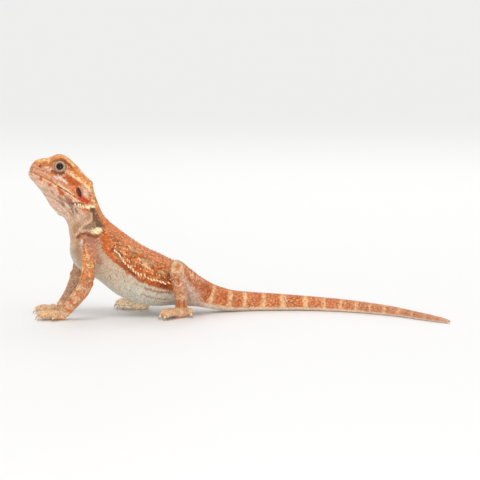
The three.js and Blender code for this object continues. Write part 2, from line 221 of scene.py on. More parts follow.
def run_of(places):
    """How far along a line of places each of them is."""
    return np.concatenate([[0], np.cumsum(np.linalg.norm(np.diff(places, axis=0), axis=1))])


def along_line(places, at):
    """The places at some distances along a line of places."""
    run = run_of(places)
    return np.stack([np.interp(at, run, places[:, k]) for k in range(3)], 1)


def evenly(count, length):
    """The distances of count places that divide a length evenly."""
    return (np.arange(count) + 0.5) / count * length


def point_tree(points):
    """A tree that finds the number of the nearest of some places."""
    tree = KDTree(len(points))
    for number, place in enumerate(points):
        tree.insert(place, number)
    tree.balance()
    return tree


# ------------------------------------------------------------------ sweeps

def smooth_curve(rows, t):
    """The Catmull-Rom curve through the rows, at stations t."""
    ends = np.vstack([2 * rows[0] - rows[1], rows, 2 * rows[-1] - rows[-2]])
    i = np.clip(np.floor(t).astype(int), 0, len(rows) - 2)
    w = (t - i)[:, None]
    a, b, c, d = (ends[i + k] for k in range(4))
    return b + 0.5 * w * (c - a + w * (2 * a - 5 * b + 4 * c - d + w * (3 * (b - c) + d - a)))


def swelling(points):
    """How far the swellings and hollows push places of the surface out."""
    push = np.zeros(len(points))
    for *centre, reach, height in SWELLINGS:
        away = to_left(points) - centre
        push += height * np.exp(-(away ** 2).sum(1) / reach ** 2)
    return push


class Sweep:
    """An oval section carried along a smooth line, as in the CAD."""

    def __init__(self, stations, across, squareness=2.0, swells=False):
        rows = np.array(stations, float)
        if rows.shape[1] == 4:
            rows = rows[:, [0, 1, 2, 3, 3, 3]]
        self.rows = rows
        self.across = np.array(across, float)
        self.squareness = squareness
        self.swells = swells
        self.last = len(rows) - 1

    def frame(self, t):
        """The section at stations t: centre, sizes, and directions along, above and across."""
        t = np.atleast_1d(np.asarray(t, float))
        at = smooth_curve(self.rows, t)
        after = smooth_curve(self.rows, np.minimum(t + 1e-3, self.last))
        before = smooth_curve(self.rows, np.maximum(t - 1e-3, 0))
        along = unit(after[:, :3] - before[:, :3])
        above = unit(np.cross(self.across, along))
        across = np.cross(along, above)
        return at[:, :3], at[:, 3:], along, above, across

    def surface(self, t, angle):
        """Places on the surface at stations t and angles, in radians, round the section."""
        centre, size, _, above, across = self.frame(t)
        power = 2 / self.squareness
        width = np.sign(np.cos(angle)) * np.abs(np.cos(angle)) ** power
        rise = np.sign(np.sin(angle)) * np.abs(np.sin(angle)) ** power
        tall = np.where(rise > 0, size[:, 1], size[:, 2])
        offset = across * (size[:, 0] * width)[:, None] + above * (tall * rise)[:, None]
        points = centre + offset
        if self.swells:
            points = points + unit(offset) * swelling(points)[:, None]
        return points

    def loft(self, rings, sides):
        """The sweep as points, triangles, and each point's station and angle."""
        t, angle = np.meshgrid(
            np.linspace(0, self.last, rings), np.linspace(0, 2 * np.pi, sides + 1), indexing="ij"
        )
        points = self.surface(t.ravel(), angle.ravel())
        i, j = np.meshgrid(np.arange(rings - 1), np.arange(sides), indexing="ij")
        a = (i * (sides + 1) + j).ravel()
        b, c, d = a + 1, a + sides + 2, a + sides + 1
        j = np.arange(sides)
        start, end = len(points), len(points) + 1
        back = (rings - 1) * (sides + 1) + j
        triangles = np.vstack([
            np.stack([a, b, c], 1),
            np.stack([a, c, d], 1),
            np.stack([np.full(sides, start), j + 1, j], 1),
            np.stack([np.full(sides, end), back, back + 1], 1),
        ])
        points = np.vstack([points, self.rows[0, :3], self.rows[-1, :3]])
        places = np.stack([t.ravel(), angle.ravel()], 1)
        places = np.vstack([places, [0, np.pi / 2], [self.last, np.pi / 2]])
        return points, triangles, places


class Part:
    """A sweep of the body with its name, how it blends in, and its place on the unwrap."""

    def __init__(self, kind, owner, sweep, blend, rings, sides, chart):
        self.kind, self.owner, self.sweep, self.blend = kind, owner, sweep, blend
        self.rings, self.sides, self.chart = rings, sides, chart


def heading_vector(out, degrees):
    """The level direction turned outwards from straight ahead by some degrees."""
    angle = np.radians(degrees)
    return np.array([out * np.sin(angle), -np.cos(angle), 0])


def foot_sweeps(name):
    """The sweeps of a hand or foot: its palm, its digits and its claws."""
    heel, heading, out, length, height, digits = FEET[name]
    ahead = heading_vector(out, heading)
    outwards = heading_vector(out, heading + 90)
    root = np.array([*heel, 0.0])
    palm = []
    for fraction, width, half in PALM_SECTIONS:
        x, y, _ = root + ahead * fraction * length
        palm.append([x, y, half * height - SOLE_SINK, width, half * height, half * height])
    toes, claws = [], []
    for fraction, offset, angle, reach, radius in digits:
        along = heading_vector(out, heading + angle)
        start = root + ahead * fraction * length + outwards * offset
        stations = []
        for part, rise, thick in DIGIT_ARCH:
            x, y, _ = start + along * part * reach
            stations.append([x, y, rise * height, radius * thick])
        across = -out * heading_vector(out, heading + angle + 90)
        toe = Sweep(stations, across)
        toes.append(toe)
        claws.append(claw_sweep(toe, along, across))
    return Sweep(palm, -out * outwards), toes, claws


def claw_sweep(toe, along, across):
    """The sweep of the claw at the end of a toe."""
    centre, _, forward, _, _ = toe.frame([toe.last])
    start = centre[0] + forward[0] * CLAW_GAP
    stations = []
    for fraction in np.linspace(0, 1, 5):
        radius = CLAW_BASE + (CLAW_TIP - CLAW_BASE) * fraction ** 0.8
        x, y, _ = start + along * CLAW_LENGTH * fraction
        arch = CLAW_ARCH * np.sin(np.pi * fraction)
        z = start[2] + (CLAW_TIP - start[2]) * fraction + arch
        stations.append([x, y, z, radius])
    return Sweep(stations, across)


# The unwrap: each part's corner, one millimetre being CHART_SCALE across.
CHART_SCALE = 0.0033
BODY_CHART = (0.01, 0.01)
TAIL_CHART = (0.44, 0.01)
TAIL_START = 15.0
PATCH = 0.003  # a scale's size on the unwrap


def build_parts():
    """Every sweep of the flesh as a Part, and each foot's claws by name."""
    body = Sweep(SPINE, LEFT, BODY_SQUARENESS, swells=True)
    parts = [Part("body", "body", body, 0, 460, 100, BODY_CHART)]
    claws = {}
    for row, (name, (upper, lower)) in enumerate(LIMBS.items()):
        chart_y = 0.44 + 0.13 * row
        parts.append(Part("upper", name, Sweep(upper, RIGHT), 3.6, 36, 36, (0.01, chart_y)))
        parts.append(Part("lower", name, Sweep(lower, RIGHT), 2.6, 40, 36, (0.17, chart_y)))
        palm, toes, claws[name] = foot_sweeps(name)
        parts.append(Part("palm", name, palm, 1.2, 20, 30, (0.33, chart_y)))
        for k, toe in enumerate(toes):
            chart = (0.42 + 0.07 * k, chart_y)
            parts.append(Part("digit", name, toe, 0.7, 20, 20, chart))
    return parts, claws


PARTS, CLAWS = build_parts()
BODY = PARTS[0].sweep

# ------------------------------------------------------------------ the distance field

GRID = openvdb.createLinearTransform(voxelSize=VOXEL)
FIELD_LOW = np.floor(np.array([-40.0, -100.0, -6.0]) / VOXEL).astype(int)
FIELD_HIGH = np.ceil(np.array([70.0, 141.0, 100.0]) / VOXEL).astype(int)
FIELD = np.full(FIELD_HIGH - FIELD_LOW, BAND * VOXEL, np.float32)


def smooth_min(a, b, radius):
    """The smaller of two distances, rounded where they meet."""
    if radius == 0:
        return np.minimum(a, b)
    h = np.clip(0.5 + 0.5 * (b - a) / radius, 0, 1)
    return b * (1 - h) + a * h - radius * h * (1 - h)


def window(corner, shape):
    """The slices of FIELD that a block of voxels covers."""
    return tuple(slice(c, c + n) for c, n in zip(corner - FIELD_LOW, shape))


def add_to_field(points, triangles, radius):
    """Joins a closed mesh to FIELD, rounding the crease by a radius."""
    grid = openvdb.FloatGrid.createLevelSetFromPolygons(
        points.astype(np.float32), triangles=triangles.astype(np.uint32),
        transform=GRID, halfWidth=BAND,
    )
    corner, far = (np.array(c) for c in grid.evalActiveVoxelBoundingBox())
    values = np.zeros(far - corner + 1, np.float32)
    grid.copyToArray(values, ijk=tuple(int(c) for c in corner))
    place = window(corner, values.shape)
    FIELD[place] = smooth_min(FIELD[place], values, radius)


def add_ball(centre, radius, blend):
    """Joins a ball to FIELD."""
    corner = np.floor((centre - radius - 3) / VOXEL).astype(int)
    count = int(np.ceil(2 * (radius + 3) / VOXEL))
    axes = [(corner[k] + np.arange(count)) * VOXEL - centre[k] for k in range(3)]
    x, y, z = np.meshgrid(*axes, indexing="ij")
    values = (np.sqrt(x * x + y * y + z * z) - radius).astype(np.float32)
    place = window(corner, values.shape)
    FIELD[place] = smooth_min(FIELD[place], values, blend)


def field_at(points):
    """The joined distance at points, which is below zero inside the flesh."""
    index = np.round(points / VOXEL).astype(int) - FIELD_LOW
    index = np.clip(index, 0, np.array(FIELD.shape) - 1)
    return FIELD[tuple(index.T)]


for part in PARTS:
    points, triangles, _ = part.sweep.loft(part.rings, part.sides)
    add_to_field(points, triangles, part.blend)
    if part.kind == "lower":
        add_ball(part.sweep.rows[0, :3], part.sweep.rows[0, 3], 1.0)
for side in (1, -1):
    add_ball(EYE * [side, 1, 1], LID_RADIUS + COAT_DEPTH, 0.8)
heights = (FIELD_LOW[2] + np.arange(FIELD.shape[2])) * VOXEL
np.maximum(FIELD, -heights - COAT_DEPTH + SKIN_FLOOR, out=FIELD)

# ------------------------------------------------------------------ strokes

def from_stroke(points, stroke):
    """How far points are from the line through a stroke's places, on either side."""
    both = to_left(points)
    places = np.array(stroke, float)
    best = np.full(len(points), 1e9)
    if len(places) == 1:
        return np.linalg.norm(both - places[0], axis=1)
    for a, b in zip(places[:-1], places[1:]):
        run = b - a
        f = np.clip(((both - a) @ run) / (run @ run), 0, 1)
        best = np.minimum(best, np.linalg.norm(both - a - f[:, None] * run, axis=1))
    return best


def skin_line(places):
    """A line on the left of the skin, through places given as a station, degrees above the
    body's widest line and, where a limb lies over the body, mm outwards."""
    rows = np.array([(*place, 0)[:3] for place in places], float)
    at = np.linspace(0, len(rows) - 1, 3 * len(rows) - 2)
    t, degrees, out = (np.interp(at, np.arange(len(rows)), rows[:, k]) for k in range(3))
    points = BODY.surface(t, np.radians(degrees))
    return points + unit(points - BODY.frame(t)[0]) * out[:, None]


def with_lines(rows):
    """Rows whose last value, a list of places on the skin, becomes a line."""
    return [(*row[:-1], skin_line(row[-1])) for row in rows]


# Places of the lines that have both a shape and a colour.
EAR = skin_line([(5.9, 13)])[0]
NOSTRIL = skin_line([(2.2, 29)])[0]
HOLLOW = [(7.55, 31), (8.0, 31), (8.4, 30), (8.8, 27)]  # between beard and nape
FLAP_EDGE = [(8.6, -30), (8.4, -18), (8.25, -3), (8.1, 12), (7.7, 20)]
FLAP_FOLD = [(8.8, -46), (8.7, -28), (8.75, -14), (8.95, 0)]
KNOB_LINE = [(9.1, 3), (9.15, 13)]  # the pale knob of the shoulder
CREASE = [(8.95, -42), (8.85, -29), (8.95, -14), (9.25, -5), (9.5, 1)]
FLANK_ROW = [(10.5, 5), (10.8, 3), (11.1, -3), (11.5, -5), (12.0, -6), (12.8, -4), (13.6, -3)]

# Relief of the skin: height, reach, places of a line.
RELIEF = with_lines([
    (0.7, 1.0, FLAP_EDGE),
    (0.5, 0.8, FLAP_FOLD),
    (-0.5, 1.4, [(8.55, -24), (8.5, -10), (8.6, 6)]),
    (-0.8, 2.2, HOLLOW),
    (0.5, 0.9, [(7.6, 52), (8.4, 50), (9.1, 42)]),  # strip behind the hollow
    (0.9, 1.9, KNOB_LINE),
    (-0.7, 0.9, CREASE),
    (0.9, 1.5, [(6.15, 65), (6.3, 52)]),  # crest at the back of the head
    (0.2, 0.9, [(3.2, 62), (3.6, 58), (4.3, 60)]),  # brow ridge
    (0.3, 0.8, [(4.8, 40), (5.3, 40), (6.1, 44)]),  # temple ridge
    (0.4, 1.0, [(6.2, -10), (6.5, -4), (6.8, 2), (7.15, 22)]),  # jowl ridge
    (0.7, 2.6, [(7.8, -12), (7.4, -5)]),  # fullness of the beard
    (0.4, 0.8, [(9.4, -42), (9.8, -50), (10.1, -62)]),  # chest folds
    (-0.4, 0.7, [(9.4, -52), (9.7, -60), (10.0, -70)]),
    (0.25, 0.9, FLANK_ROW),  # flank ridge
])
EAR_HALF = np.array([1.3, 1.5, 2.85])
EAR_DEPTH = 0.9
EAR_LEAN = 0.22  # how far back its top leans, for each mm up
NOSTRIL_RADIUS = 0.72
MOUTH_END = 5.95
MOUTH_DEPTH = 0.5
LID_OPENING = 1.72  # radius of the opening between the eyelids


def ear_distance(points):
    """0 at the middle of the ear's opening and 1 at its rim."""
    both = to_left(points) - EAR
    y = both[:, 1] + EAR_LEAN * both[:, 2]
    return np.sqrt((y / EAR_HALF[1]) ** 2 + (both[:, 2] / EAR_HALF[2]) ** 2)


def eye_distance(points):
    """How far points are from the line along which the eye looks, in front of the eye."""
    both = to_left(points) - EYE
    axis = unit(EYE_AXIS)
    ahead = both @ axis
    aside = np.linalg.norm(both - ahead[:, None] * axis, axis=1)
    return np.where(ahead > 0, aside, 99.0), ahead


def relief(points, normals, kind, t, angle):
    """Skin places moved in or out along their normals."""
    push = np.zeros(len(points))
    for height, reach, line in RELIEF:
        push += height * np.exp(-(from_stroke(points, line) / reach) ** 2)
    on_body = kind == "body"
    near_ear = on_body & (np.abs(points[:, 0]) > 9)
    push -= np.where(near_ear, EAR_DEPTH * (1 - step(0.55, 1.1, ear_distance(points))), 0)
    rim = np.exp(-((ear_distance(points) - 1.35) / 0.25) ** 2)
    push += np.where(near_ear, 0.2 * rim, 0)
    hole = np.linalg.norm(to_left(points) - NOSTRIL, axis=1)
    push -= 0.7 * np.exp(-(hole / NOSTRIL_RADIUS) ** 4)
    push += 0.22 * np.exp(-((hole - 1.15) / 0.35) ** 2)
    # The mouth's groove, with fuller lips on either side.
    from_mouth = mouth_height(points, t)
    on_mouth = on_body * (1 - step(MOUTH_END - 0.2, MOUTH_END, t)) * step(0.05, 0.4, t)
    facing = step(0.25, 0.5, np.abs(np.cos(angle)))
    open_rear = 0.15 + 0.85 * step(3.6, 4.7, t)
    push -= MOUTH_DEPTH * open_rear * np.exp(-(from_mouth / 0.32) ** 2) * on_mouth * facing
    push += 0.2 * np.exp(-((np.abs(from_mouth) - 1.0) / 0.5) ** 2) * on_mouth * facing
    # Long wrinkles of the throat.
    down = np.degrees(np.arcsin(np.clip(-np.sin(angle), -1, 1)))
    folds = np.cos(np.radians(down * 360 / 11 + 40 * np.sin(t * 2.3)))
    throat = on_body * step(4.4, 5.4, t) * (1 - step(8.2, 9.0, t)) * step(12, 26, down)
    push -= 0.24 * throat * np.clip(folds, 0, 1) ** 2
    # The eye's opening goes down past the eyeball.
    aside, ahead = eye_distance(points)
    opening = 1 - step(LID_OPENING - 0.05, LID_OPENING + 0.25, aside)
    sunk = np.sqrt(np.maximum((EYE_RADIUS - 0.5) ** 2 - aside ** 2, 0.1)) - ahead
    moved = points + normals * push[:, None]
    near_eye = on_body & (aside < LID_OPENING + 0.3)
    inwards = unit(EYE_AXIS) * np.stack([np.sign(points[:, 0])] + [np.ones(len(points))] * 2, 1)
    return moved + inwards * (np.where(near_eye, sunk * opening, 0))[:, None]


def mouth_height(points, t):
    """How far points of the head are above the mouth line."""
    centre, _, _, above, _ = BODY.frame(np.clip(t, 0, BODY.last))
    return ((points - centre) * above).sum(1)


# ------------------------------------------------------------------ where a point is

class Lofts:
    """Finds the part, station and angle of places near the body's surface."""

    def __init__(self):
        points, triangles, places, owners = [], [], [], []
        count = 0
        for number, part in enumerate(PARTS):
            p, tri, at = part.sweep.loft(part.rings, part.sides)
            points.append(p)
            triangles.append(tri + count)
            places.append(at)
            owners.append(np.full(len(tri), number))
            count += len(p)
        self.points = np.vstack(points)
        self.triangles = np.vstack(triangles)
        self.places = np.vstack(places)
        self.owners = np.concatenate(owners)
        self.tree = BVHTree.FromPolygons(self.points.tolist(), self.triangles.tolist())

    def find(self, points):
        """The part, station and angle of the surface's place nearest to each point."""
        near = [self.tree.find_nearest(p) for p in points.tolist()]
        face = np.array([n[2] for n in near])
        at = np.array([n[0] for n in near])
        corners = self.triangles[face]
        a, b, c = (self.points[corners[:, k]] for k in range(3))
        normal = np.cross(b - a, c - a)
        area = np.maximum((normal ** 2).sum(1), 1e-12)
        wb = (np.cross(at - a, c - a) * normal).sum(1) / area
        wc = (np.cross(b - a, at - a) * normal).sum(1) / area
        weights = np.stack([1 - wb - wc, wb, wc], 1)[..., None]
        place = (self.places[corners] * weights).sum(1)
        return self.owners[face], place[:, 0], place[:, 1]


LOFTS = Lofts()
KINDS = np.array([part.kind for part in PARTS])
OWNERS = np.array([part.owner for part in PARTS])

# ------------------------------------------------------------------ colours

def paint(red, green, blue):
    """A colour given as screen values, in the linear values that Blender uses."""
    value = np.array([red, green, blue]) / 255
    return np.where(value <= 0.04045, value / 12.92, ((value + 0.055) / 1.055) ** 2.4)


ORANGE = paint(214, 124, 58)
CORAL = paint(216, 126, 78)
TAN = paint(202, 144, 86)
RUST = paint(184, 84, 20)
DARK_RUST = paint(132, 60, 24)
CREAM = paint(246, 216, 168)
WHITE = paint(240, 222, 208)
SPIKE_CREAM = paint(255, 236, 196)
BELLY = paint(214, 207, 190)
THROAT = paint(208, 172, 144)
PINK = paint(218, 174, 146)
GREY_TAN = paint(166, 134, 104)
HOLLOW_PAINTED_SHADE = paint(122, 94, 70)
THROAT_LINE = paint(156, 100, 70)
THROAT_BROWN = paint(146, 84, 56)
BROW = paint(188, 100, 38)
DEEP_RUST = paint(132, 58, 16)
RUST_TAN = paint(190, 112, 72)
PEACH = paint(222, 150, 100)
FLAME = paint(212, 108, 40)
KNOB = paint(246, 234, 190)
LIGHT_TAN = paint(218, 182, 150)
CREASE_PAINTED_SHADE = paint(160, 80, 36)
MAUVE_PAINTED_SHADE = paint(182, 118, 98)
BELLY_LINE = paint(154, 102, 62)
HEAD_TOP = paint(228, 156, 80)
SNOUT = paint(206, 138, 94)
RED_ORANGE = paint(190, 58, 0)
EAR_MAROON = paint(92, 34, 28)
EAR_FRONT_PAINTED_LIGHT = paint(158, 96, 84)
NOSTRIL_RED = paint(110, 34, 18)
HAND = paint(222, 184, 138)
PALE_THIGH = paint(218, 190, 172)
FOOT_PAINTED_LIGHT = paint(255, 230, 192)
SHIN = paint(198, 144, 100)
PALE = paint(232, 208, 196)
BEIGE = paint(212, 186, 158)
NECK_TAN = paint(174, 130, 94)
LIP = paint(240, 208, 170)
LID = paint(196, 168, 142)
LID_EDGE = paint(92, 72, 58)
LID_PAINTED_SHADE = paint(120, 66, 32)
TAIL_PALE = paint(226, 174, 128)
TAIL_DARK = paint(204, 118, 66)
TIP_PALE = paint(196, 148, 114)
TIP_DARK = paint(180, 116, 82)
TAIL_RIDGE = paint(212, 140, 92)
TAIL_UNDER = paint(226, 204, 182)
ARM_INSIDE_PAINTED_SHADE = paint(178, 142, 116)
SOLE = paint(206, 132, 108)
IRIS_BROWN = paint(26, 17, 12)
IRIS_RAY = paint(50, 32, 20)
IRIS_RIM = paint(20, 14, 12)
PUPIL_BLACK = paint(6, 5, 5)
EYE_EDGE = paint(44, 30, 26)
HORN = paint(224, 192, 146)
HORN_TIP = paint(132, 100, 72)

LATTICE = np.random.default_rng(7).random((64, 64, 64))


def cloud(points, size, shift=0.0):
    """Smooth noise from 0 to 1, with blobs about size mm across."""
    x = points / size + shift
    i = np.floor(x).astype(int)
    f = x - i
    f = f * f * (3 - 2 * f)
    total = np.zeros(len(points))
    for corner in np.ndindex(2, 2, 2):
        weight = np.prod(np.where(corner, f, 1 - f), axis=1)
        total += weight * LATTICE[tuple(((i + corner) % 64).T)]
    return total


def blend(colour, over, amount):
    """One colour laid over another, by an amount from 0 to 1 at each place."""
    return colour + (over - colour) * np.clip(amount, 0, 1)[:, None]


# Marks on both sides of the animal: colour, reach, strength and the places of a line, each
# a station, degrees above the widest line and, where a limb lies over the body, mm outwards.
MARKS = with_lines([
    # Round the eye, with painted shade in the creases above and below the eyelids.
    (BROW, 1.2, 0.8, [(2.3, 43), (2.9, 41), (3.3, 40), (3.4, 32)]),
    # Dark rust arcs over the eyelids: partly markings, partly painted shade in the crease under the
    # brow.
    (DEEP_RUST, 1.1, 0.75, [(3.4, 45), (3.7, 48), (4.1, 47)]),
    (DEEP_RUST, 1.2, 0.9, [(4.2, 46), (4.4, 50), (4.6, 52)]),
    (BROW, 1.0, 0.8, [(4.6, 44), (4.9, 51)]),
    (CREAM, 0.8, 0.45, [(3.9, 64), (4.4, 62), (4.8, 62)]),
    (PALE, 1.1, 0.6, [(3.15, 28), (3.4, 23), (3.65, 18)]),
    (PALE, 1.0, 0.85, [(3.95, 9), (4.25, 12), (4.55, 14), (4.9, 13)]),
    (RUST, 0.8, 0.85, [(3.65, 15), (4.0, 14)]),
    # Painted shade along the lower edge of the eyelids.
    (LID_PAINTED_SHADE, 0.8, 0.95, [(3.6, 20), (3.95, 17), (4.25, 19), (4.4, 25)]),
    # The patch behind the eye, and the pale line above it.
    (RUST, 1.6, 1.0, [(4.7, 22), (5.0, 26)]),
    (RUST, 2.5, 1.0, [(5.1, 23), (5.3, 22), (5.5, 26)]),
    (ORANGE, 1.0, 0.7, [(5.0, 14), (5.4, 13)]),
    (CREAM, 0.7, 0.8, [(4.8, 36), (5.1, 37), (5.6, 40), (6.0, 43), (6.3, 44)]),
    (CREAM, 1.2, 0.8, [(6.0, 42), (6.3, 44)]),
    # Behind and below the ear.
    (PALE, 1.7, 0.6, [(6.25, 28), (6.4, 22)]),
    (RUST_TAN, 1.6, 0.8, [(6.6, 41)]),
    (CREAM, 1.0, 0.8, [(7.0, 42), (7.25, 48)]),
    (FLAME, 1.5, 0.9, [(6.8, 17), (6.95, 27)]),
    (RED_ORANGE, 1.9, 1.0, [(6.2, 6), (6.4, 9), (6.75, 14)]),
    # Between the mouth and the ear, and the spots below the lip.
    (FLAME, 1.2, 0.85, [(5.5, 6), (5.75, 6), (5.95, 4)]),
    (RUST, 0.8, 0.7, [(2.0, -5)]),
    (RUST, 0.9, 0.8, [(3.0, -3), (3.1, -14)]),
    (RUST, 1.2, 0.95, [(3.95, -10)]),
    (RUST, 1.2, 0.95, [(4.65, -3), (4.85, -7), (5.1, -9)]),
    # The throat and the row of spikes along the jaw.
    (THROAT_LINE, 0.6, 0.6, [(4.35, -24), (4.6, -28)]),
    (THROAT_BROWN, 1.1, 0.6, [(5.0, -21), (5.3, -25), (5.55, -31)]),
    (THROAT_BROWN, 1.2, 0.85, [(5.45, -13), (5.8, -13)]),
    (DARK_RUST, 1.1, 0.9, [(6.1, -12), (6.45, -4), (6.7, 1)]),
    (CREAM, 0.9, 0.5, [(7.0, 10), (7.1, 18), (7.2, 32)]),
    (RUST, 0.9, 0.7, [(6.75, 2)]),
    (RUST, 0.8, 0.7, [(6.95, 7)]),
    (FLAME, 1.0, 0.85, [(7.2, -2), (7.3, 9), (7.35, 17)]),
    # The neck: its hollow and the wedge below the throat flap, darkened with painted shade; the
    # folds of the throat flap; and the pale knob of the shoulder.
    (ORANGE, 1.0, 0.85, [(7.6, 52), (8.4, 50), (9.1, 42)]),
    # Painted shade in the wedge below the throat flap.
    (GREY_TAN, 2.0, 0.95, [(8.5, 16), (8.6, 4), (8.55, -14)]),
    (NECK_TAN, 2.6, 0.9, [(8.5, -46), (8.35, -28)]),
    # Painted shade in the hollow between beard and nape.
    (HOLLOW_PAINTED_SHADE, 2.5, 1.0, HOLLOW),
    # The flap's edge and folds: partly pale skin, partly a painted highlight along their ridges.
    (LIGHT_TAN, 0.7, 0.8, FLAP_EDGE),
    (LIGHT_TAN, 0.8, 0.7, FLAP_FOLD),
    (KNOB, 2.0, 1.0, KNOB_LINE),
    # The shoulder, with mauve painted shade round the armpit and behind the arm, and painted shade
    # along the crease in front of it.
    (MAUVE_PAINTED_SHADE, 3.2, 0.6, [(9.5, -8, 1), (9.8, -12, 2), (10.1, -16, 3)]),
    (MAUVE_PAINTED_SHADE, 2.2, 0.7, [(10.2, -18), (10.45, -24)]),
    (PALE, 1.2, 0.6, [(9.3, -28), (9.5, -32, 1)]),
    (RUST_TAN, 0.8, 0.9, [(9.1, -24), (9.4, -20, 1), (9.7, -22, 3), (9.9, -26, 4)]),
    (CREASE_PAINTED_SHADE, 1.2, 0.95, CREASE),
    (FLAME, 3.4, 0.7, [(9.9, 12), (10.2, 6)]),
    (TAN, 0.9, 0.8, [(10.0, 13)]),
    # Blotches of the back and flank, painted shadow under the first flank spikes, painted shade in
    # front of the thigh, and the brown lines of the belly.
    (GREY_TAN, 1.4, 0.7, [(10.8, 23)]),
    (GREY_TAN, 1.8, 0.8, [(11.3, 40)]),
    (GREY_TAN, 1.5, 0.7, [(11.9, 24)]),
    (GREY_TAN, 1.7, 0.8, [(12.4, 29)]),
    # Painted shadow of the first spikes of the flank row.
    (DARK_RUST, 1.0, 0.9, [(10.5, 6), (10.65, 10)]),
    (DARK_RUST, 1.1, 0.9, [(10.8, 10), (10.95, 7)]),
    (RUST, 1.3, 0.8, [(11.15, 8)]),
    (RUST, 1.3, 0.8, [(11.45, 7)]),
    (RUST, 1.2, 0.8, [(11.9, 8)]),
    # Painted shadow under the flank's main row of spikes.
    (DARK_RUST, 0.9, 0.6, FLANK_ROW[:5]),
    (FLAME, 1.2, 0.9, [(10.2, -3), (10.5, -4), (10.8, -5)]),
    (RUST, 1.3, 0.8, [(11.6, -12)]),
    (RUST, 1.3, 0.85, [(12.15, -11), (12.4, -11)]),
    (RUST, 1.7, 0.95, [(12.7, -10), (12.85, -9)]),
    (DARK_RUST, 1.6, 0.8, [(13.1, -7), (13.4, -7)]),
    # Painted shade in front of the thigh.
    (DARK_RUST, 2.0, 0.8, [(13.4, 14), (13.5, 6)]),
    (BELLY_LINE, 0.8, 0.8, [(12.6, -21), (13.1, -21), (13.7, -19)]),
    (BELLY_LINE, 0.7, 0.6, [(12.6, -35), (13.0, -38), (13.7, -38)]),
    (BELLY_LINE, 0.8, 0.7, [(12.2, -21)]),
    (BELLY_LINE, 0.8, 0.5, [(12.1, -37)]),
    (BELLY_LINE, 0.8, 0.6, [(11.7, -26)]),
    (BELLY_LINE, 0.8, 0.5, [(11.3, -26)]),
    (BELLY_LINE, 0.7, 0.5, [(11.1, -38), (11.2, -43)]),
    # The rear of the thigh and the first band of the tail.
    (RUST, 1.5, 0.8, [(14.1, 46), (14.2, 32)]),
    (RUST, 1.3, 0.8, [(14.4, 40), (14.65, 34)]),
    (PALE_THIGH, 3.4, 0.9, [(14.8, -14, 1), (15.05, -26, 1), (15.2, -50)]),
    (RUST, 2.1, 0.9, [(15.0, 27), (15.5, 24)]),
    (ORANGE, 1.4, 0.7, [(15.2, -6)]),
])
# Where the even coral of the back gives way to mottling: station, degrees above the flank.
CORAL_EDGE = np.array([[7.5, 30], [9.0, 36], [10.0, 34], [11.0, 44], [11.8, 46], [12.5, 38],
                       [13.5, 40], [15.0, 30], [16.0, 34], [27.0, 40]])
# Where the flank gives way to the pale belly: station, degrees.
FLANK_EDGE = np.array([[9.5, 10], [10.4, -6], [11.0, -9], [12.0, -11], [13.6, -14], [15.6, -24],
                       [17.0, -30]])
# The dark bands of the tail, as stations.
TAIL_BANDS = [14.3, 15.3, 16.3, 17.5, 18.65, 19.6, 20.5, 21.2, 21.8, 22.35, 22.85, 23.3, 23.8,
              24.3, 24.75, 25.3, 25.9]
# The width of a band at a station, in stations.
BAND_WIDTH = np.array([[15.3, 0.5], [17.5, 0.6], [19.6, 0.46], [20.5, 0.36], [23, 0.24],
                       [26, 0.22]])


def head_colour(points, t, lift):
    """The colours of the head and throat."""
    height = mouth_height(points, t)
    # Places stretched along the mouth line, for streaks that run beside it.
    streak = np.stack([height, 1.3 * t, 0.25 * points[:, 0]], 1)
    top = blend(HEAD_TOP, CREAM, 0.6 * step(0.55, 0.8, cloud(points, 1.3)))
    top = blend(top, ORANGE, 0.8 * step(0.42, 0.7, cloud(points, 2.2, 9.1)))
    top = blend(top, RUST, 0.45 * step(0.62, 0.8, cloud(points, 1.2, 4.6)))
    side = blend(SNOUT, THROAT, 0.7 * step(0.4, 0.7, cloud(streak, 0.8, 3.3)))
    side = blend(side, ORANGE, 0.7 * step(0.5, 0.75, cloud(streak, 0.7, 5.7)) * step(2, 4, t))
    side = blend(side, WHITE, 0.3 * step(0.6, 0.8, cloud(streak, 0.6, 8.3)))
    colour = side + (top - side) * step(28, 48, lift)[:, None]
    jaw = blend(THROAT, WHITE, 0.55 * step(0.45, 0.7, cloud(streak, 0.8, 1.7)))
    near_lip = step(-5.0, -1.5, height) * step(0.4, 0.6, cloud(streak, 0.6, 9.4))
    jaw = blend(jaw, PEACH, 0.6 * near_lip)
    jaw = blend(jaw, PINK, 0.6 * step(0.5, 0.75, cloud(points, 2.4, 6.1)))
    lines = step(0.54, 0.7, cloud(streak, 0.7, 4.8)) * step(3.4, 4.6, t)
    lines = lines * step(-1.4, -2.4, height)
    jaw = blend(jaw, THROAT_LINE, 0.75 * lines * (1 - step(-6.5, -9.5, height)))
    behind_jaw = step(6.2, 7.0, t)
    below = step(0.2, -0.3, height) * (1 - behind_jaw) + behind_jaw * step(2, -10, lift)
    colour = colour + (jaw - colour) * np.clip(below, 0, 1)[:, None]
    # Lips: pale lines on either side of the dark groove of the mouth.
    on_mouth = (1 - step(MOUTH_END - 0.2, MOUTH_END + 0.1, t)) * step(0.1, 0.6, t)
    on_mouth = on_mouth * (np.abs(lift) < 30)
    rear = step(4.0, 4.8, t)
    upper = np.exp(-((height - 0.75) / 0.35) ** 2) * on_mouth
    lower = np.exp(-((height + 0.62) / 0.3) ** 2) * on_mouth * step(2.6, 3.4, t)
    colour = blend(colour, SNOUT, 0.5 * upper * (1 - rear))
    colour = blend(colour, CREAM, 0.8 * upper * rear)
    colour = blend(colour, LIP, 0.8 * lower)
    below_lip = np.exp(-((height + 1.2) / 0.3) ** 2) * on_mouth * step(2.2, 3.0, t)
    colour = blend(colour, ORANGE, 0.55 * below_lip)
    groove = np.exp(-(height / 0.28) ** 2) * on_mouth
    return blend(colour, DARK_RUST, groove * (0.12 + 0.8 * rear))


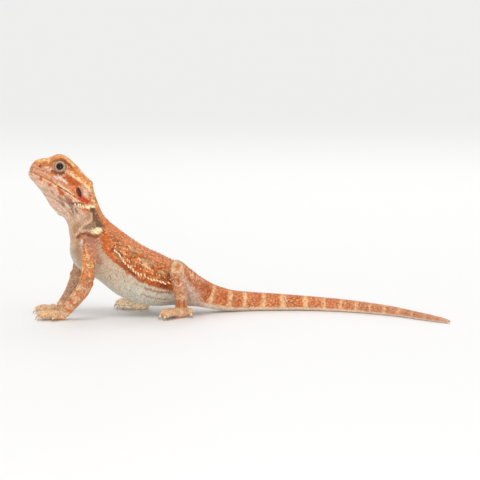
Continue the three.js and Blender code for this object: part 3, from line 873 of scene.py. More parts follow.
def trunk_colour(points, t, lift):
    """The colours of the neck, back, flank and belly."""
    warp = 5 * (cloud(points, 2.0, 2.2) - 0.5)
    coral = blend(CORAL, ORANGE, step(0.45, 0.8, cloud(points, 1.8)))
    streaks = np.stack([2.4 * t, 0.25 * lift, 0.3 * points[:, 0]], 1)
    coral = blend(coral, PEACH, 0.75 * step(0.5, 0.7, cloud(streaks, 0.8, 8.8)))
    coral = blend(coral, RUST_TAN, 0.8 * step(0.54, 0.72, cloud(streaks, 0.9, 2.6)))
    mottled = blend(ORANGE, TAN, step(0.44, 0.62, cloud(points, 1.7, 4.4)))
    mottled = blend(mottled, RUST, 0.9 * step(0.53, 0.65, cloud(points, 1.6, 7.7)))
    # Short pale strokes stand across the flank.
    strokes = np.stack([4.5 * t, 0.35 * lift, 0.3 * points[:, 0]], 1)
    mottled = blend(mottled, CREAM, 0.5 * step(0.6, 0.74, cloud(strokes, 1.6, 3.9)))
    mottled = blend(mottled, DARK_RUST, 0.6 * step(0.57, 0.7, cloud(strokes, 1.5, 8.4)))
    edge = np.interp(t, *CORAL_EDGE.T)
    back = mottled + (coral - mottled) * step(edge - 6, edge + 8, lift + warp)[:, None]
    specks = 0.55 * step(0.74, 0.86, cloud(points, 1.5, 5.1)) * step(-70, -20, lift)
    below = blend(BELLY, TAN, specks)
    warm = (1 - step(10.4, 12.6, t)) * step(-86, -40, lift)
    below = blend(below, BEIGE, 0.9 * warm)
    below = blend(below, BEIGE, 0.5 * step(-34, -12, lift))
    neck = np.exp(-((t - 9.3) / 1.0) ** 2) * step(-88, -40, lift)
    below = blend(below, THROAT, 1 - step(8.6, 9.8, t))
    below = blend(below, NECK_TAN, 0.85 * neck)
    # A rust line runs below the row of spikes along the flank.
    low_edge = np.interp(t, *FLANK_EDGE.T)
    colour = below + (back - below) * step(low_edge - 3, low_edge + 2, lift + warp * 0.5)[:, None]
    row = np.interp(t, *np.transpose(FLANK_ROW))
    line = step(low_edge - 1, low_edge + 1, lift) * step(row - 0.5, row - 2.5, lift)
    broken = 0.35 + 0.5 * step(0.4, 0.6, cloud(points, 2.6, 3.7))
    colour = blend(colour, RUST, broken * line * step(10.2, 10.6, t) * (1 - step(14.4, 15.0, t)))
    over = np.exp(-((lift - row - 6) / 5) ** 2) * step(10.0, 10.6, t) * (1 - step(14, 15, t))
    return blend(colour, RUST, 0.8 * over * step(0.42, 0.6, cloud(points, 1.5, 6.6)))


def tail_colour(points, t, lift):
    """The colours of the tail."""
    pale = blend(TAIL_PALE, CREAM,
                 0.5 * step(0.45, 0.7, cloud(points, 1.0)) * (1 - 0.6 * step(20, 24, t)))
    pale = blend(pale, TIP_PALE, 0.8 * step(21.5, 25.5, t))
    band = np.zeros(len(t))
    spacing = np.interp(t, *BAND_WIDTH.T)
    wobble = 0.24 * (cloud(points, 1.2, 5.2) - 0.5)
    for centre in TAIL_BANDS:
        band = np.maximum(band, 1 - step(0.6, 0.95, np.abs(t - centre) / spacing + wobble))
    dark = blend(TAIL_DARK, RUST, 0.6 * step(0.4, 0.62, cloud(points, 1.2, 2.9)))
    dark = blend(dark, TAN, 0.6 * step(0.62, 0.8, cloud(points, 0.9, 7.2)))
    dark = blend(dark, CREAM, 0.6 * step(0.64, 0.76, cloud(points, 0.7, 1.2)) * step(10, -20, lift))
    dark = blend(dark, TIP_DARK, 0.8 * step(20.5, 24, t))
    fade = 1 - 0.35 * step(20, 26.5, t)
    low_edge = 12 * (cloud(points, 1.4, 9.9) - 0.5)
    colour = blend(pale, dark, band * fade * step(-38, -18, lift + low_edge))
    colour = blend(colour, TAIL_RIDGE, 0.7 * step(48, 75, lift) * (1 - 0.6 * band))
    under = step(-22, -42, lift + low_edge)
    return blend(colour, TAIL_UNDER, under)


def body_colour(points, t, angle):
    """The colours of the body, which run from head to trunk to tail."""
    lift = np.degrees(np.arcsin(np.clip(np.sin(angle), -1, 1)))
    colour = head_colour(points, t, lift)
    trunk = trunk_colour(points, t, lift)
    colour = colour + (trunk - colour) * step(7.0, 8.0, t)[:, None]
    tail = tail_colour(points, t, lift)
    colour = colour + (tail - colour) * step(14.3, 15.2, t)[:, None]
    return head_openings(points, t, add_marks(points, colour))


def add_marks(points, colour):
    """The colours with the named marks laid over them."""
    wobble = 0.9 * (cloud(points, 0.8, 1.3) - 0.5)
    for shade, reach, strength, line in MARKS:
        away = from_stroke(points, line) / reach + wobble
        colour = blend(colour, shade, strength * (1 - step(0.5, 1.2, away)))
    return colour


def head_openings(points, t, colour):
    """The colours of the eyelids, the ear and the nostril, with a ring of painted shade round the
    eyelids and painted light on the front of the ear's opening.
    """
    aside, ahead = eye_distance(points)
    on_lids = (t < 6) * (ahead > 1.5)
    # A ring of painted shade in the crease round the eyelids.
    shade = np.exp(-((aside - 3.25) / 0.35) ** 2) * on_lids
    colour = blend(colour, LID_PAINTED_SHADE, 0.75 * shade)
    lids = on_lids * (1 - step(2.85, 3.1, aside))
    colour = blend(colour, LID, lids)
    edge = 1 - step(LID_OPENING + 0.1, LID_OPENING + 0.35, aside)
    colour = blend(colour, LID_EDGE, lids * edge)
    both = to_left(points)
    in_ear = (1 - step(0.75, 1.1, ear_distance(points))) * (np.abs(points[:, 0]) > 9)
    colour = blend(colour, EAR_MAROON, in_ear)
    # Painted light: the front half of the ear's opening is painted lighter.
    front = step(0.0, -1.2, both[:, 1] - EAR[1] + EAR_LEAN * (both[:, 2] - EAR[2]))
    colour = blend(colour, EAR_FRONT_PAINTED_LIGHT, 0.7 * in_ear * front)
    hole = np.linalg.norm(both - NOSTRIL, axis=1)
    colour = blend(colour, RUST_TAN, 0.7 * np.exp(-(hole / 1.7) ** 2))
    return blend(colour, NOSTRIL_RED, 1 - step(0.6, 1.0, hole))


ARM_BANDS = [0.15, 1.2, 2.15, 3.05]  # stations of the forearm
KNEE_PATCH_RISE = 0.3


def limb_colour(points, kind, owner, t, angle):
    """The colours of the arms, legs, hands and feet."""
    side = np.where(np.char.endswith(owner, "left"), 1.0, -1.0)
    arm = np.char.startswith(owner, "hand")
    outward = -np.cos(angle) * side
    forward = np.sin(angle)
    lower = kind == "lower"
    # Arms: orange over the outside, with rust bands, and painted shade over the inside.
    arm_colour = blend(ORANGE, TAN, step(0.35, 0.65, cloud(points, 1.3, 1.1)))
    arm_colour = blend(arm_colour, CREAM, 0.6 * step(0.5, 0.7, cloud(points, 0.9, 4.1)))
    arm_colour = blend(arm_colour, RUST, 0.6 * step(0.56, 0.7, cloud(points, 1.5, 7.1)))
    band = sum(np.exp(-((t - centre) / 0.24) ** 2) for centre in ARM_BANDS)
    gaps = lower * (1 - np.clip(band, 0, 1)) * 0.6
    arm_colour = blend(arm_colour, LIGHT_TAN, gaps)
    ragged = step(0.2, 0.55, cloud(points, 1.6, 5.5))
    arm_colour = blend(arm_colour, RUST_TAN, 0.9 * lower * band * ragged * step(-0.2, 0.5, outward))
    arm_colour = blend(arm_colour, ARM_INSIDE_PAINTED_SHADE, 0.85 * step(0.0, -0.6, outward))
    # Legs: pale behind and inside, rust speckles outside, two stripes above the ankle.
    leg = blend(SHIN, PINK, step(0.45, 0.7, cloud(points, 1.4, 2.1)))
    leg = blend(leg, CREAM, 0.4 * step(0.58, 0.75, cloud(points, 0.8, 9.2)))
    speckles = 0.8 * step(0.48, 0.64, cloud(points, 1.2, 6.3)) * step(-0.3, 0.3, outward)
    leg = blend(leg, RUST, speckles)
    thigh_top = (~lower) * step(-0.2, 0.5, outward) * step(0.42, 0.7, cloud(points, 1.4, 3.6))
    leg = blend(leg, RUST, 0.75 * thigh_top)
    from_hip = np.where(lower, 1.0, t)
    behind = np.where(lower, 0.3, 0.95) * step(-0.2, 0.5, -forward)
    leg = blend(leg, PALE_THIGH, behind * step(0.1, 0.8, from_hip))
    leg = blend(leg, PALE_THIGH, 0.8 * step(0.0, -0.6, outward))
    stripes = np.exp(-((forward - 0.5) / 0.15) ** 2) + np.exp(-((forward + 0.3) / 0.15) ** 2)
    ankle = lower * step(2.1, 2.5, t) * (1 - step(3.5, 3.9, t)) * step(0, 0.3, outward)
    leg = blend(leg, SHIN, 0.8 * ankle)
    leg = blend(leg, RUST, np.clip(1.2 * stripes * ankle, 0, 0.9))
    # The knee: a pale ring round an orange patch on its outside.
    knees = np.array([LIMBS["foot_" + name][1][0][:3] for name in ("left", "right")])
    knee = np.where(side[:, None] > 0, knees[0], knees[1]) + [0, 0, KNEE_PATCH_RISE]
    from_knee = np.linalg.norm((points - knee)[:, 1:], axis=1)
    outside = step(0.0, 0.5, outward) * np.char.startswith(owner, "foot")
    leg = blend(leg, CREAM, 0.7 * np.exp(-((from_knee - 2.6) / 1.1) ** 2) * outside)
    leg = blend(leg, ORANGE, 0.8 * np.exp(-(from_knee / 1.6) ** 2) * outside)
    colour = np.where(arm[:, None], arm_colour, leg)
    foot = (kind == "palm") | (kind == "digit")
    foot_colour = blend(HAND, PINK, step(0.45, 0.75, cloud(points, 1.4, 8.1)))
    foot_colour = blend(foot_colour, ORANGE, 0.35 * step(0.6, 0.8, cloud(points, 1.1, 2.7)))
    foot_colour = blend(foot_colour, SOLE, 0.7 * step(1.6, 0.5, points[:, 2]))
    # Painted light: the right foot is painted much paler.
    foot_colour = blend(foot_colour, FOOT_PAINTED_LIGHT, 0.85 * (owner == "foot_right"))
    colour = np.where(foot[:, None], foot_colour, colour)
    wrist = lower * step(3.0, 3.9, t)
    return blend(colour, HAND, wrist)


def markings(points, part, t, angle):
    """The colour of the animal at places on its surface."""
    kind, owner = KINDS[part], OWNERS[part]
    on_body = kind == "body"
    colour = np.zeros((len(points), 3))
    colour[on_body] = body_colour(points[on_body], t[on_body], angle[on_body])
    limb = ~on_body
    colour[limb] = limb_colour(points[limb], kind[limb], owner[limb], t[limb], angle[limb])
    # Where a limb joins the body its colour turns to the body's.
    root = limb & (kind == "upper")
    if root.any():
        t_body, angle_body = nearest_on_body(points[root])
        body = body_colour(points[root], t_body, angle_body)
        joined = 1 - step(0.5, 4.0, body_gap(points[root], t_body, angle_body))
        colour[root] += (body - colour[root]) * joined[:, None]
        colour[root] = add_marks(points[root], colour[root])
    return colour


def nearest_on_body(points):
    """The station and angle of the body's place nearest to each point."""
    near = [BODY_TREE.find(p) for p in points.tolist()]
    index = np.array([n[1] for n in near])
    return BODY_PLACES[index, 0], BODY_PLACES[index, 1]


def body_gap(points, t, angle):
    """How far points are from the body's surface at a station and angle."""
    return np.linalg.norm(points - BODY.surface(t, angle), axis=1)


body_points, _, BODY_PLACES = BODY.loft(230, 72)
BODY_TREE = point_tree(body_points)


# ------------------------------------------------------------------ meshes

def add_object(name, data):
    """A new object that holds some data, put into the scene."""
    obj = bpy.data.objects.new(name, data)
    bpy.context.scene.collection.objects.link(obj)
    return obj


def new_object(name, points, faces, colours):
    """A smooth mesh object from places in mm, in the animal's frame."""
    mesh = bpy.data.meshes.new(name)
    faces = np.asarray(faces)
    mesh.vertices.add(len(points))
    mesh.vertices.foreach_set("co", to_row(points).astype(np.float32).ravel())
    sides = faces.shape[1]
    mesh.loops.add(faces.size)
    mesh.loops.foreach_set("vertex_index", faces.astype(np.int32).ravel())
    mesh.polygons.add(len(faces))
    mesh.polygons.foreach_set("loop_start", np.arange(0, faces.size, sides, dtype=np.int32))
    mesh.update(calc_edges=True)
    mesh.polygons.foreach_set("use_smooth", np.full(len(faces), True))
    set_colours(mesh, colours)
    return add_object(name, mesh)


def set_colours(mesh, colours):
    """Stores one colour for each corner of a mesh."""
    layer = mesh.color_attributes.new("marking", "FLOAT_COLOR", "POINT")
    rgba = np.concatenate([colours, np.ones((len(colours), 1))], 1)
    layer.data.foreach_set("color", rgba.astype(np.float32).ravel())


HEAD_BOX = ((-20, -92, 57), (20, -52, 96))  # where the skin is made finer


def skin_mesh():
    """The skin as a mesh in mm: the distance field's surface, finer on the head."""
    grid = openvdb.FloatGrid(background=float(BAND * VOXEL))
    grid.transform = GRID
    grid.copyFromArray(FIELD, ijk=tuple(int(c) for c in FIELD_LOW), tolerance=0.0)
    points, _, quads = grid.convertToPolygons(isovalue=-COAT_DEPTH, adaptivity=0.0)
    mesh = bpy.data.meshes.new("skin")
    mesh.from_pydata(points.tolist(), [], quads.tolist())
    fine = bmesh.new()
    fine.from_mesh(mesh)
    low_corner, high_corner = (Vector(c) for c in HEAD_BOX)
    inside = {v for v in fine.verts
              if all(low_corner[k] < v.co[k] < high_corner[k] for k in range(3))}
    edges = [e for e in fine.edges if e.verts[0] in inside and e.verts[1] in inside]
    bmesh.ops.subdivide_edges(fine, edges=edges, cuts=1, use_grid_fill=True)
    bmesh.ops.triangulate(fine, faces=[f for f in fine.faces if len(f.verts) > 4])
    fine.to_mesh(mesh)
    fine.free()
    return mesh


def read(items, name):
    """The places or directions of all items of a mesh, a row for each."""
    values = np.empty(len(items) * 3, np.float32)
    items.foreach_get(name, values)
    return values.reshape(-1, 3).astype(float)


skin_data = skin_mesh()
skin_points = read(skin_data.vertices, "co")
skin_normals = read(skin_data.vertex_normals, "vector")
skin_part, skin_t, skin_angle = LOFTS.find(skin_points)
skin_points = relief(skin_points, skin_normals, KINDS[skin_part], skin_t, skin_angle)
skin_points[:, 2] = np.maximum(skin_points[:, 2], SKIN_FLOOR)
skin_data.vertices.foreach_set("co", skin_points.astype(np.float32).ravel())
skin_data.update()
skin_normals = read(skin_data.vertex_normals, "vector")
SKIN_TREE = BVHTree.FromPolygons(
    skin_points.tolist(), [tuple(p.vertices) for p in skin_data.polygons]
)
SKIN_CORNERS = point_tree(skin_points)
# The skin between the scales is darkened as painted shade.
skin_colours = markings(skin_points, skin_part, skin_t, skin_angle) * SKIN_PAINTED_SHADE
set_colours(skin_data, skin_colours)
skin_data.vertices.foreach_set("co", to_row(skin_points).astype(np.float32).ravel())
skin_data.polygons.foreach_set("use_smooth", np.full(len(skin_data.polygons), True))
skin_data.update()
skin = add_object("skin", skin_data)


# ------------------------------------------------------------------ scales

class Sites:
    """Where the scales stand: places, directions, sizes and looks, one row each."""

    FIELDS = ("point", "normal", "along", "part", "t", "angle", "length", "width", "height",
              "style")

    def __init__(self):
        self.lists = {name: [] for name in self.FIELDS}

    def add(self, **values):
        """Adds rows; a single value stands for all of them."""
        count = len(values["point"])
        for name in self.FIELDS:
            value = values[name]
            self.lists[name].append(value if np.ndim(value) else np.full(count, value))

    def join(self):
        """Turns the lists into one array for each field."""
        for name in self.FIELDS:
            setattr(self, name, np.concatenate(self.lists[name]))

    def keep(self, chosen):
        """Keeps only the chosen rows."""
        for name in self.FIELDS:
            setattr(self, name, getattr(self, name)[chosen])


KEELED, FLAT, GRAIN, PLATE = range(4)


def rows_along(sweep, t_from, t_to, spacing, angle):
    """Stations from t_from to t_to, evenly spaced along the surface at an angle."""
    t = np.linspace(t_from, t_to, 700)
    line = sweep.surface(t, np.full(len(t), angle))
    run = run_of(line)
    count = max(int(run[-1] / spacing), 1)
    return np.interp(evenly(count, run[-1]), run, t)


def lattice(number, t_span, degrees, row, column, dense_angle):
    """Staggered rows of places over a stretch of a part's surface."""
    sweep = PARTS[number].sweep
    angles = np.radians(np.linspace(*degrees, 121))
    stations, turns = [], []
    for k, t in enumerate(rows_along(sweep, *t_span, row, np.radians(dense_angle))):
        ring = sweep.surface(np.full(len(angles), t), angles)
        run = run_of(ring)
        # The count changes seldom, so that the rows stay in step.
        count = int(round(np.exp(round(np.log(max(run[-1] / column, 3)) / 0.09) * 0.09)))
        at = (np.arange(count) + 0.25 + 0.5 * (k % 2)) / count * run[-1]
        turns.append(np.interp(at, run, angles))
        stations.append(np.full(count, t))
    return np.concatenate(stations), np.concatenate(turns)


def settle(points, reach):
    """Places moved onto the skin, its normals there, and which were near enough to keep."""
    near = [SKIN_TREE.find_nearest(p) for p in points.tolist()]
    at = np.array([n[0] for n in near])
    away = np.array([n[3] for n in near])
    corner = [SKIN_CORNERS.find(p)[1] for p in at.tolist()]
    return at, skin_normals[corner], away < reach


ROOT_REACH = 0.9  # how much further than COAT_DEPTH a scale may move to reach the skin
DEEPEST_ROOT = 1.0  # how deep in the joined flesh its part's surface may be there
LOWEST_ROOT = 0.12  # how low it may stand
# How long scales are, as a share of the spacing of their rows.
LENGTHS = {KEELED: 2.1, FLAT: 1.3, GRAIN: 2.1, PLATE: 2.1}


def cover(sites, number, t_span, degrees, row, column, style, height, dense_angle=90):
    """Adds a lattice of scales over a stretch of a part."""
    sweep = PARTS[number].sweep
    t, angle = lattice(number, t_span, degrees, row, column, dense_angle)
    points = sweep.surface(t, angle)
    ahead = sweep.surface(np.minimum(t + 0.02, sweep.last), angle)
    behind = sweep.surface(np.maximum(t - 0.02, 0), angle)
    at, normal, near = settle(points, COAT_DEPTH + ROOT_REACH)
    near &= field_at(points) > -DEEPEST_ROOT
    near &= at[:, 2] > LOWEST_ROOT
    sites.add(
        point=at[near], normal=normal[near], along=(ahead - behind)[near],
        part=number, t=t[near], angle=angle[near], length=row * LENGTHS[style],
        width=column * 1.04, height=height, style=style,
    )


def row_of(sites, line, count, length, width, height, style, side):
    """Adds one row of scales along a line of places on one side."""
    places = np.array(line, float)
    at = evenly(count, run_of(places)[-1])
    points = along_line(places, at)
    ahead = along_line(places, at + 0.1)
    behind = along_line(places, at - 0.1)
    mirror = np.array([side, 1, 1])
    at_skin, normal, _ = settle(points * mirror, 9)
    part, t, angle = LOFTS.find(at_skin)
    sites.add(
        point=at_skin, normal=normal, along=(ahead - behind) * mirror, part=part, t=t, angle=angle,
        length=length, width=width, height=height, style=style,
    )


def thin(sites, spare):
    """Drops each scale that is too close to one before it in the list."""
    size = 0.5 * np.minimum(sites.length / np.where(sites.style == FLAT, 1.3, 1.55), sites.width)
    tree = point_tree(sites.point)
    kept = np.ones(len(sites.point), bool)
    points = sites.point.tolist()
    for number, place in enumerate(points):
        for _, other, away in tree.find_range(place, size[number] * 2):
            if other < number and kept[other] and away < spare * (size[number] + size[other]):
                kept[number] = False
                break
    sites.keep(kept)


def mouth_line(height, t_from, t_to):
    """Places along a lip, a height above the mouth line, on the left side."""
    t = np.linspace(t_from, t_to, 60)
    centre, size, _, above, across = BODY.frame(t)
    points = centre + across * size[:, :1] + above * height
    return points + unit(across) * 0.6


# Rows of larger scales on the head: line, count, length, width, height, style. The lines given
# in mm lie close to the skin and settle on it.
HEAD_ROWS = [
    (mouth_line(0.85, 0.6, 5.9), 17, 1.75, 1.0, 0.3, PLATE),  # upper lip
    (mouth_line(-0.85, 0.6, 5.8), 17, 1.75, 1.0, 0.3, PLATE),  # lower lip
    ([(4.4, -79.4, 86.2), (5.3, -76.8, 87.6), (6.2, -73.6, 88.6), (6.6, -70.2, 87.6),
      (6.8, -68.0, 85.8)], 9, 1.7, 1.1, 0.45, KEELED),  # brow
    ([(2.6, -85.6, 86.2), (3.4, -82.6, 86.0), (4.4, -79.8, 86.0)],
     5, 1.4, 1.1, 0.3, PLATE),  # edge of the snout
    (skin_line([(4.75, 34), (5.15, 37), (5.5, 39), (5.9, 42), (6.25, 47)]),
     13, 1.5, 0.95, 0.5, KEELED),  # temple
    ([(7.6, -69.0, 83.8), (7.4, -65.4, 82.2), (8.2, -62.2, 79.4), (9.0, -59.0, 76.2)],
     10, 1.4, 0.95, 0.4, KEELED),  # from the eye to the ear
]

ROUND = (0, 360)
# Stretches of scales: stations, degrees, spacing of the rows and in a row, style, height and,
# where it isn't the top, the angle at which the rows are evenly spaced.
BODY_SCALES = [
    ((0.02, 6.9), (38, 142), 0.60, 1.08, PLATE, 0.30),  # top of the head
    ((0.02, 6.9), (-8, 38), 0.46, 0.84, GRAIN, 0.26),
    ((0.02, 6.9), (142, 188), 0.46, 0.84, GRAIN, 0.26),
    ((0.02, 7.4), (188, 352), 0.50, 0.88, GRAIN, 0.22, 270),  # throat
    ((6.9, 9.4), (26, 154), 0.52, 0.92, KEELED, 0.30),  # nape
    ((6.9, 9.4), (-12, 26), 0.48, 0.86, GRAIN, 0.24),
    ((6.9, 9.4), (154, 192), 0.48, 0.86, GRAIN, 0.24),
    ((7.4, 9.4), (192, 348), 0.50, 0.88, GRAIN, 0.22, 270),
    ((9.4, 15.6), (-6, 186), 0.64, 1.15, KEELED, 0.40),  # back
    ((9.4, 15.6), (186, 354), 0.66, 1.02, FLAT, 0.32, 270),  # belly
    ((15.6, 20.0), ROUND, 0.66, 1.12, KEELED, 0.40),  # tail
    ((20.0, 24.0), ROUND, 0.62, 1.0, KEELED, 0.34),
    ((24.0, 26.95), ROUND, 0.54, 0.82, KEELED, 0.26),
]
LIMB_SCALES = {
    "upper": ((0.4, 3.0), ROUND, 0.54, 0.95, KEELED, 0.34),
    "lower": ((0.0, 3.9), ROUND, 0.52, 0.92, KEELED, 0.32),
    "palm": ((0.0, 4.0), ROUND, 0.46, 0.80, GRAIN, 0.26),
    "digit": ((0.3, 3.95), ROUND, 0.42, 0.74, PLATE, 0.26),
}

sites = Sites()
for side in (1, -1):
    for row in HEAD_ROWS:
        row_of(sites, *row, side)
for stretch in BODY_SCALES:
    cover(sites, 0, *stretch)
for number, part in enumerate(PARTS[1:], 1):
    cover(sites, number, *LIMB_SCALES[part.kind])
sites.join()

aside, ahead = eye_distance(sites.point)
clear = ~((aside < 3.15) & (ahead > 1.0) & (np.abs(sites.point[:, 0]) > 5) & (sites.t < 6))
clear &= ~((ear_distance(sites.point) < 1.0) & (np.abs(sites.point[:, 0]) > 9) & (sites.part == 0))
clear &= np.linalg.norm(to_left(sites.point) - NOSTRIL, axis=1) > 0.7
near_mouth = (np.abs(mouth_height(sites.point, sites.t)) < 0.42) & (sites.t < MOUTH_END)
clear &= ~(near_mouth & (sites.part == 0) & (sites.style != PLATE))
sites.keep(clear)
thin(sites, 0.62)


def chart_places(part, t, angle):
    """The places of roots on the unwrap: along each part, and round it."""
    places = np.zeros((len(t), 2))
    for number, piece in enumerate(PARTS):
        chosen = part == number
        stations = np.linspace(0, piece.sweep.last, 400)
        centre, size, _, _, _ = piece.sweep.frame(stations)
        run = run_of(centre)
        girth = np.pi * (size[:, 0] + 0.5 * (size[:, 1] + size[:, 2]))
        along = np.interp(t[chosen], stations, run)
        around = np.interp(t[chosen], stations, girth) * (angle[chosen] % (2 * np.pi)) / (2 * np.pi)
        places[chosen] = np.stack([along, around], 1) * CHART_SCALE + piece.chart
        if number == 0:
            tail = chosen & (t > TAIL_START)
            start = np.interp(TAIL_START, stations, run)
            places[tail, 0] += TAIL_CHART[0] - BODY_CHART[0] - start * CHART_SCALE
    return places


def hexagon(scale=1.0):
    """Six corners round a circle whose diameter is the scale."""
    angle = np.radians(np.arange(6) * 60)
    return np.stack([np.cos(angle), np.sin(angle)], 1) * 0.5 * scale


def tube_faces(rings, sides):
    """The triangles of a tube through rings of corners, closed at its base."""
    faces = [[0, j + 1, j] for j in range(1, sides - 1)]
    for k in range(rings - 1):
        for j in range(sides):
            a, b = k * sides + j, k * sides + (j + 1) % sides
            faces += [[a, b, b + sides], [a, b + sides, a + sides]]
    return faces


def tip_faces(last, sides):
    """The triangles from the last ring, which starts at corner last, to the tip after it."""
    return [[last + j, last + (j + 1) % sides, last + sides] for j in range(sides)]


def shape(rings, heights, top):
    """A scale: rings of (along, across) places from the base up, closed by the top places."""
    points = [np.column_stack([ring, np.broadcast_to(h, len(ring))])
              for ring, h in zip(rings, heights)]
    count = len(rings[0])
    last = (len(rings) - 1) * count
    faces = tube_faces(len(rings), count)
    if len(top) == 1:
        faces += tip_faces(last, count)
    else:
        # Two places along a keel: the rear one serves the ring's tailward corners.
        front, rear = last + count, last + count + 1
        for j in range(count):
            n = (j + 1) % count
            hub = rear if j in (0, count - 1) else front
            faces.append([last + j, last + n, hub])
        faces.append([last + 1, front, rear])
        faces.append([last + count - 1, rear, front])
    points.append(np.array(top))
    return np.vstack(points), np.array(faces)


# Corners run from the free tip, tailwards, round the scale. Heights are in scale heights.
TIP = np.array([[0.54, 0], [0.2, 0.5], [-0.24, 0.46], [-0.5, 0], [-0.24, -0.46], [0.2, -0.5]])
BELT = np.array([[0.52, 0], [0.3, 0.5], [-0.3, 0.5], [-0.48, 0], [-0.3, -0.5], [0.3, -0.5]])
SUNK = -0.9
SHAPES = {
    KEELED: shape([TIP * 0.9, TIP], [SUNK, [0.85, 0.32, 0.02, -0.15, 0.02, 0.32]],
                  [[-0.2, 0, 0.6], [0.34, 0, 1.15]]),
    FLAT: shape([BELT * 0.9, BELT], [SUNK, [0.75, 0.6, 0.1, -0.1, 0.1, 0.6]], [[0.12, 0, 0.72]]),
    GRAIN: shape([hexagon(0.92), hexagon(1.0), hexagon(0.66)], [SUNK, 0.15, 0.82],
                 [[0.05, 0, 1.05]]),
    PLATE: shape([hexagon(0.94), hexagon(1.02), hexagon(0.72)], [SUNK, 0.25, 0.9],
                 [[0.0, 0, 1.0]]),
}
# How light each level of a scale is, as painted light and shade: base, rim, upper ring, top. The
# sunk base is darkened as painted shade and the top lightened as a painted highlight.
SCALE_PAINTED_LIGHT = {
    KEELED: [0.6] * 6 + [1.1, 1.0, 0.86, 0.74, 0.86, 1.0] + [0.96, 1.16],
    FLAT: [0.6] * 6 + [1.06, 1.02, 0.9, 0.84, 0.9, 1.02] + [1.02],
    GRAIN: [0.6] * 6 + [0.8] * 6 + [1.04] * 6 + [1.08],
    PLATE: [0.62] * 6 + [0.82] * 6 + [1.04] * 6 + [1.04],
}

# How strongly scales of each kind differ in colour.
FLECKS = {KEELED: 0.95, FLAT: 0.3, GRAIN: 0.5, PLATE: 0.9}


def add_bake_map(obj, spots, faces):
    """The OFBake map, which puts each corner at its place on the unwrap."""
    layer = obj.data.uv_layers.new(name="OFBake")
    layer.data.foreach_set("uv", spots[faces.ravel()].astype(np.float32).ravel())


def make_coat(name, sites, chosen, rng):
    """One coat piece, from the chosen ones among some sites."""
    points, faces, colours, maps = [], [], [], []
    count = 0
    for style, (corners, triangles) in SHAPES.items():
        pick = np.flatnonzero(chosen & (sites.style == style))
        if len(pick) == 0:
            continue
        normal = unit(sites.normal[pick])
        along = sites.along[pick]
        along = unit(along - normal * (along * normal).sum(1)[:, None])
        across = np.cross(normal, along)
        size = rng.uniform(0.93, 1.07, (len(pick), 3))
        u = corners[:, 0] * (sites.length[pick] * size[:, 0])[:, None]
        v = corners[:, 1] * (sites.width[pick] * size[:, 1])[:, None]
        w = corners[:, 2] * (sites.height[pick] * size[:, 2])[:, None]
        at = (sites.point[pick][:, None] + along[:, None] * u[..., None]
              + across[:, None] * v[..., None] + normal[:, None] * w[..., None])
        at = at.reshape(-1, 3)
        at[:, 2] = np.maximum(at[:, 2], SCALE_FLOOR)
        base = markings(sites.point[pick], sites.part[pick], sites.t[pick], sites.angle[pick])
        # One scale differs from the next, and least on the throat and belly.
        calm = np.where((sites.part[pick] == 0) & (np.sin(sites.angle[pick]) < 0), 0.4, 1.0)
        fleck = rng.random(len(pick)) * FLECKS[style] * calm
        base = blend(base, CREAM, 0.36 * step(0.84, 0.96, fleck))
        base = blend(base, DARK_RUST, 0.5 * step(0.6, 0.5, fleck) * step(0.36, 0.46, fleck))
        tint = rng.uniform(0.78, 1.14, (len(pick), 1)) * rng.uniform(0.97, 1.03, (len(pick), 3))
        # Each scale's levels are lit and shaded by painted light and shade.
        shade = np.array(SCALE_PAINTED_LIGHT[style])
        colour = (base * tint)[:, None] * shade[None, :, None]
        root = chart_places(sites.part[pick], sites.t[pick], sites.angle[pick])
        spot = root[:, None] + corners[None, :, :2] * PATCH
        points.append(at)
        colours.append(colour.reshape(-1, 3))
        maps.append(spot.reshape(-1, 2))
        block = triangles[None] + (np.arange(len(pick)) * len(corners))[:, None, None] + count
        faces.append(block.reshape(-1, 3))
        count += len(at)
    faces = np.vstack(faces)
    coat = new_object(name, np.vstack(points), faces, np.clip(np.vstack(colours), 0, 1))
    add_bake_map(coat, np.vstack(maps), faces)
    return coat


# Which sites make up each coat piece, by part and station.
on_body = sites.part == 0
underside = np.sin(sites.angle) < -0.1
front_limb = np.char.startswith(OWNERS[sites.part], "hand")
COATS = {
    "coat_head": on_body & (sites.t < 7.0),
    "coat_neck": on_body & (sites.t >= 7.0) & (sites.t < 9.4),
    "coat_back": on_body & (sites.t >= 9.4) & (sites.t < 15.6) & ~underside,
    "coat_belly": on_body & (sites.t >= 9.4) & (sites.t < 15.6) & underside,
    "coat_tail": on_body & (sites.t >= 15.6),
    "coat_arms": ~on_body & front_limb,
    "coat_legs": ~on_body & ~front_limb,
}
coat_rng = np.random.default_rng(11)
coats = [make_coat(name, sites, chosen, coat_rng) for name, chosen in COATS.items()]

# ------------------------------------------------------------------ spikes

SPIKE_SIDES = 6
SPIKE_SCATTER = 0.22
HOLLOW_CLEARANCE = 2.4  # how far spikes keep from the hollow's line
FIELD_BASE = 1.25  # the base and backward lean of scattered spikes
FIELD_LEAN = 1.7
# A spike's section: fraction of its height, radius as a share of the base's.
SPIKE_RINGS = [(-0.35, 1.0), (0.0, 1.0), (0.3, 0.74), (0.65, 0.4), (0.92, 0.12)]


def flank_line(above, t_from, t_to):
    """A line along the flank, some degrees above its main row of spikes."""
    t = np.linspace(t_from, t_to, 40)
    return BODY.surface(t, np.radians(np.interp(t, *np.transpose(FLANK_ROW)) + above))


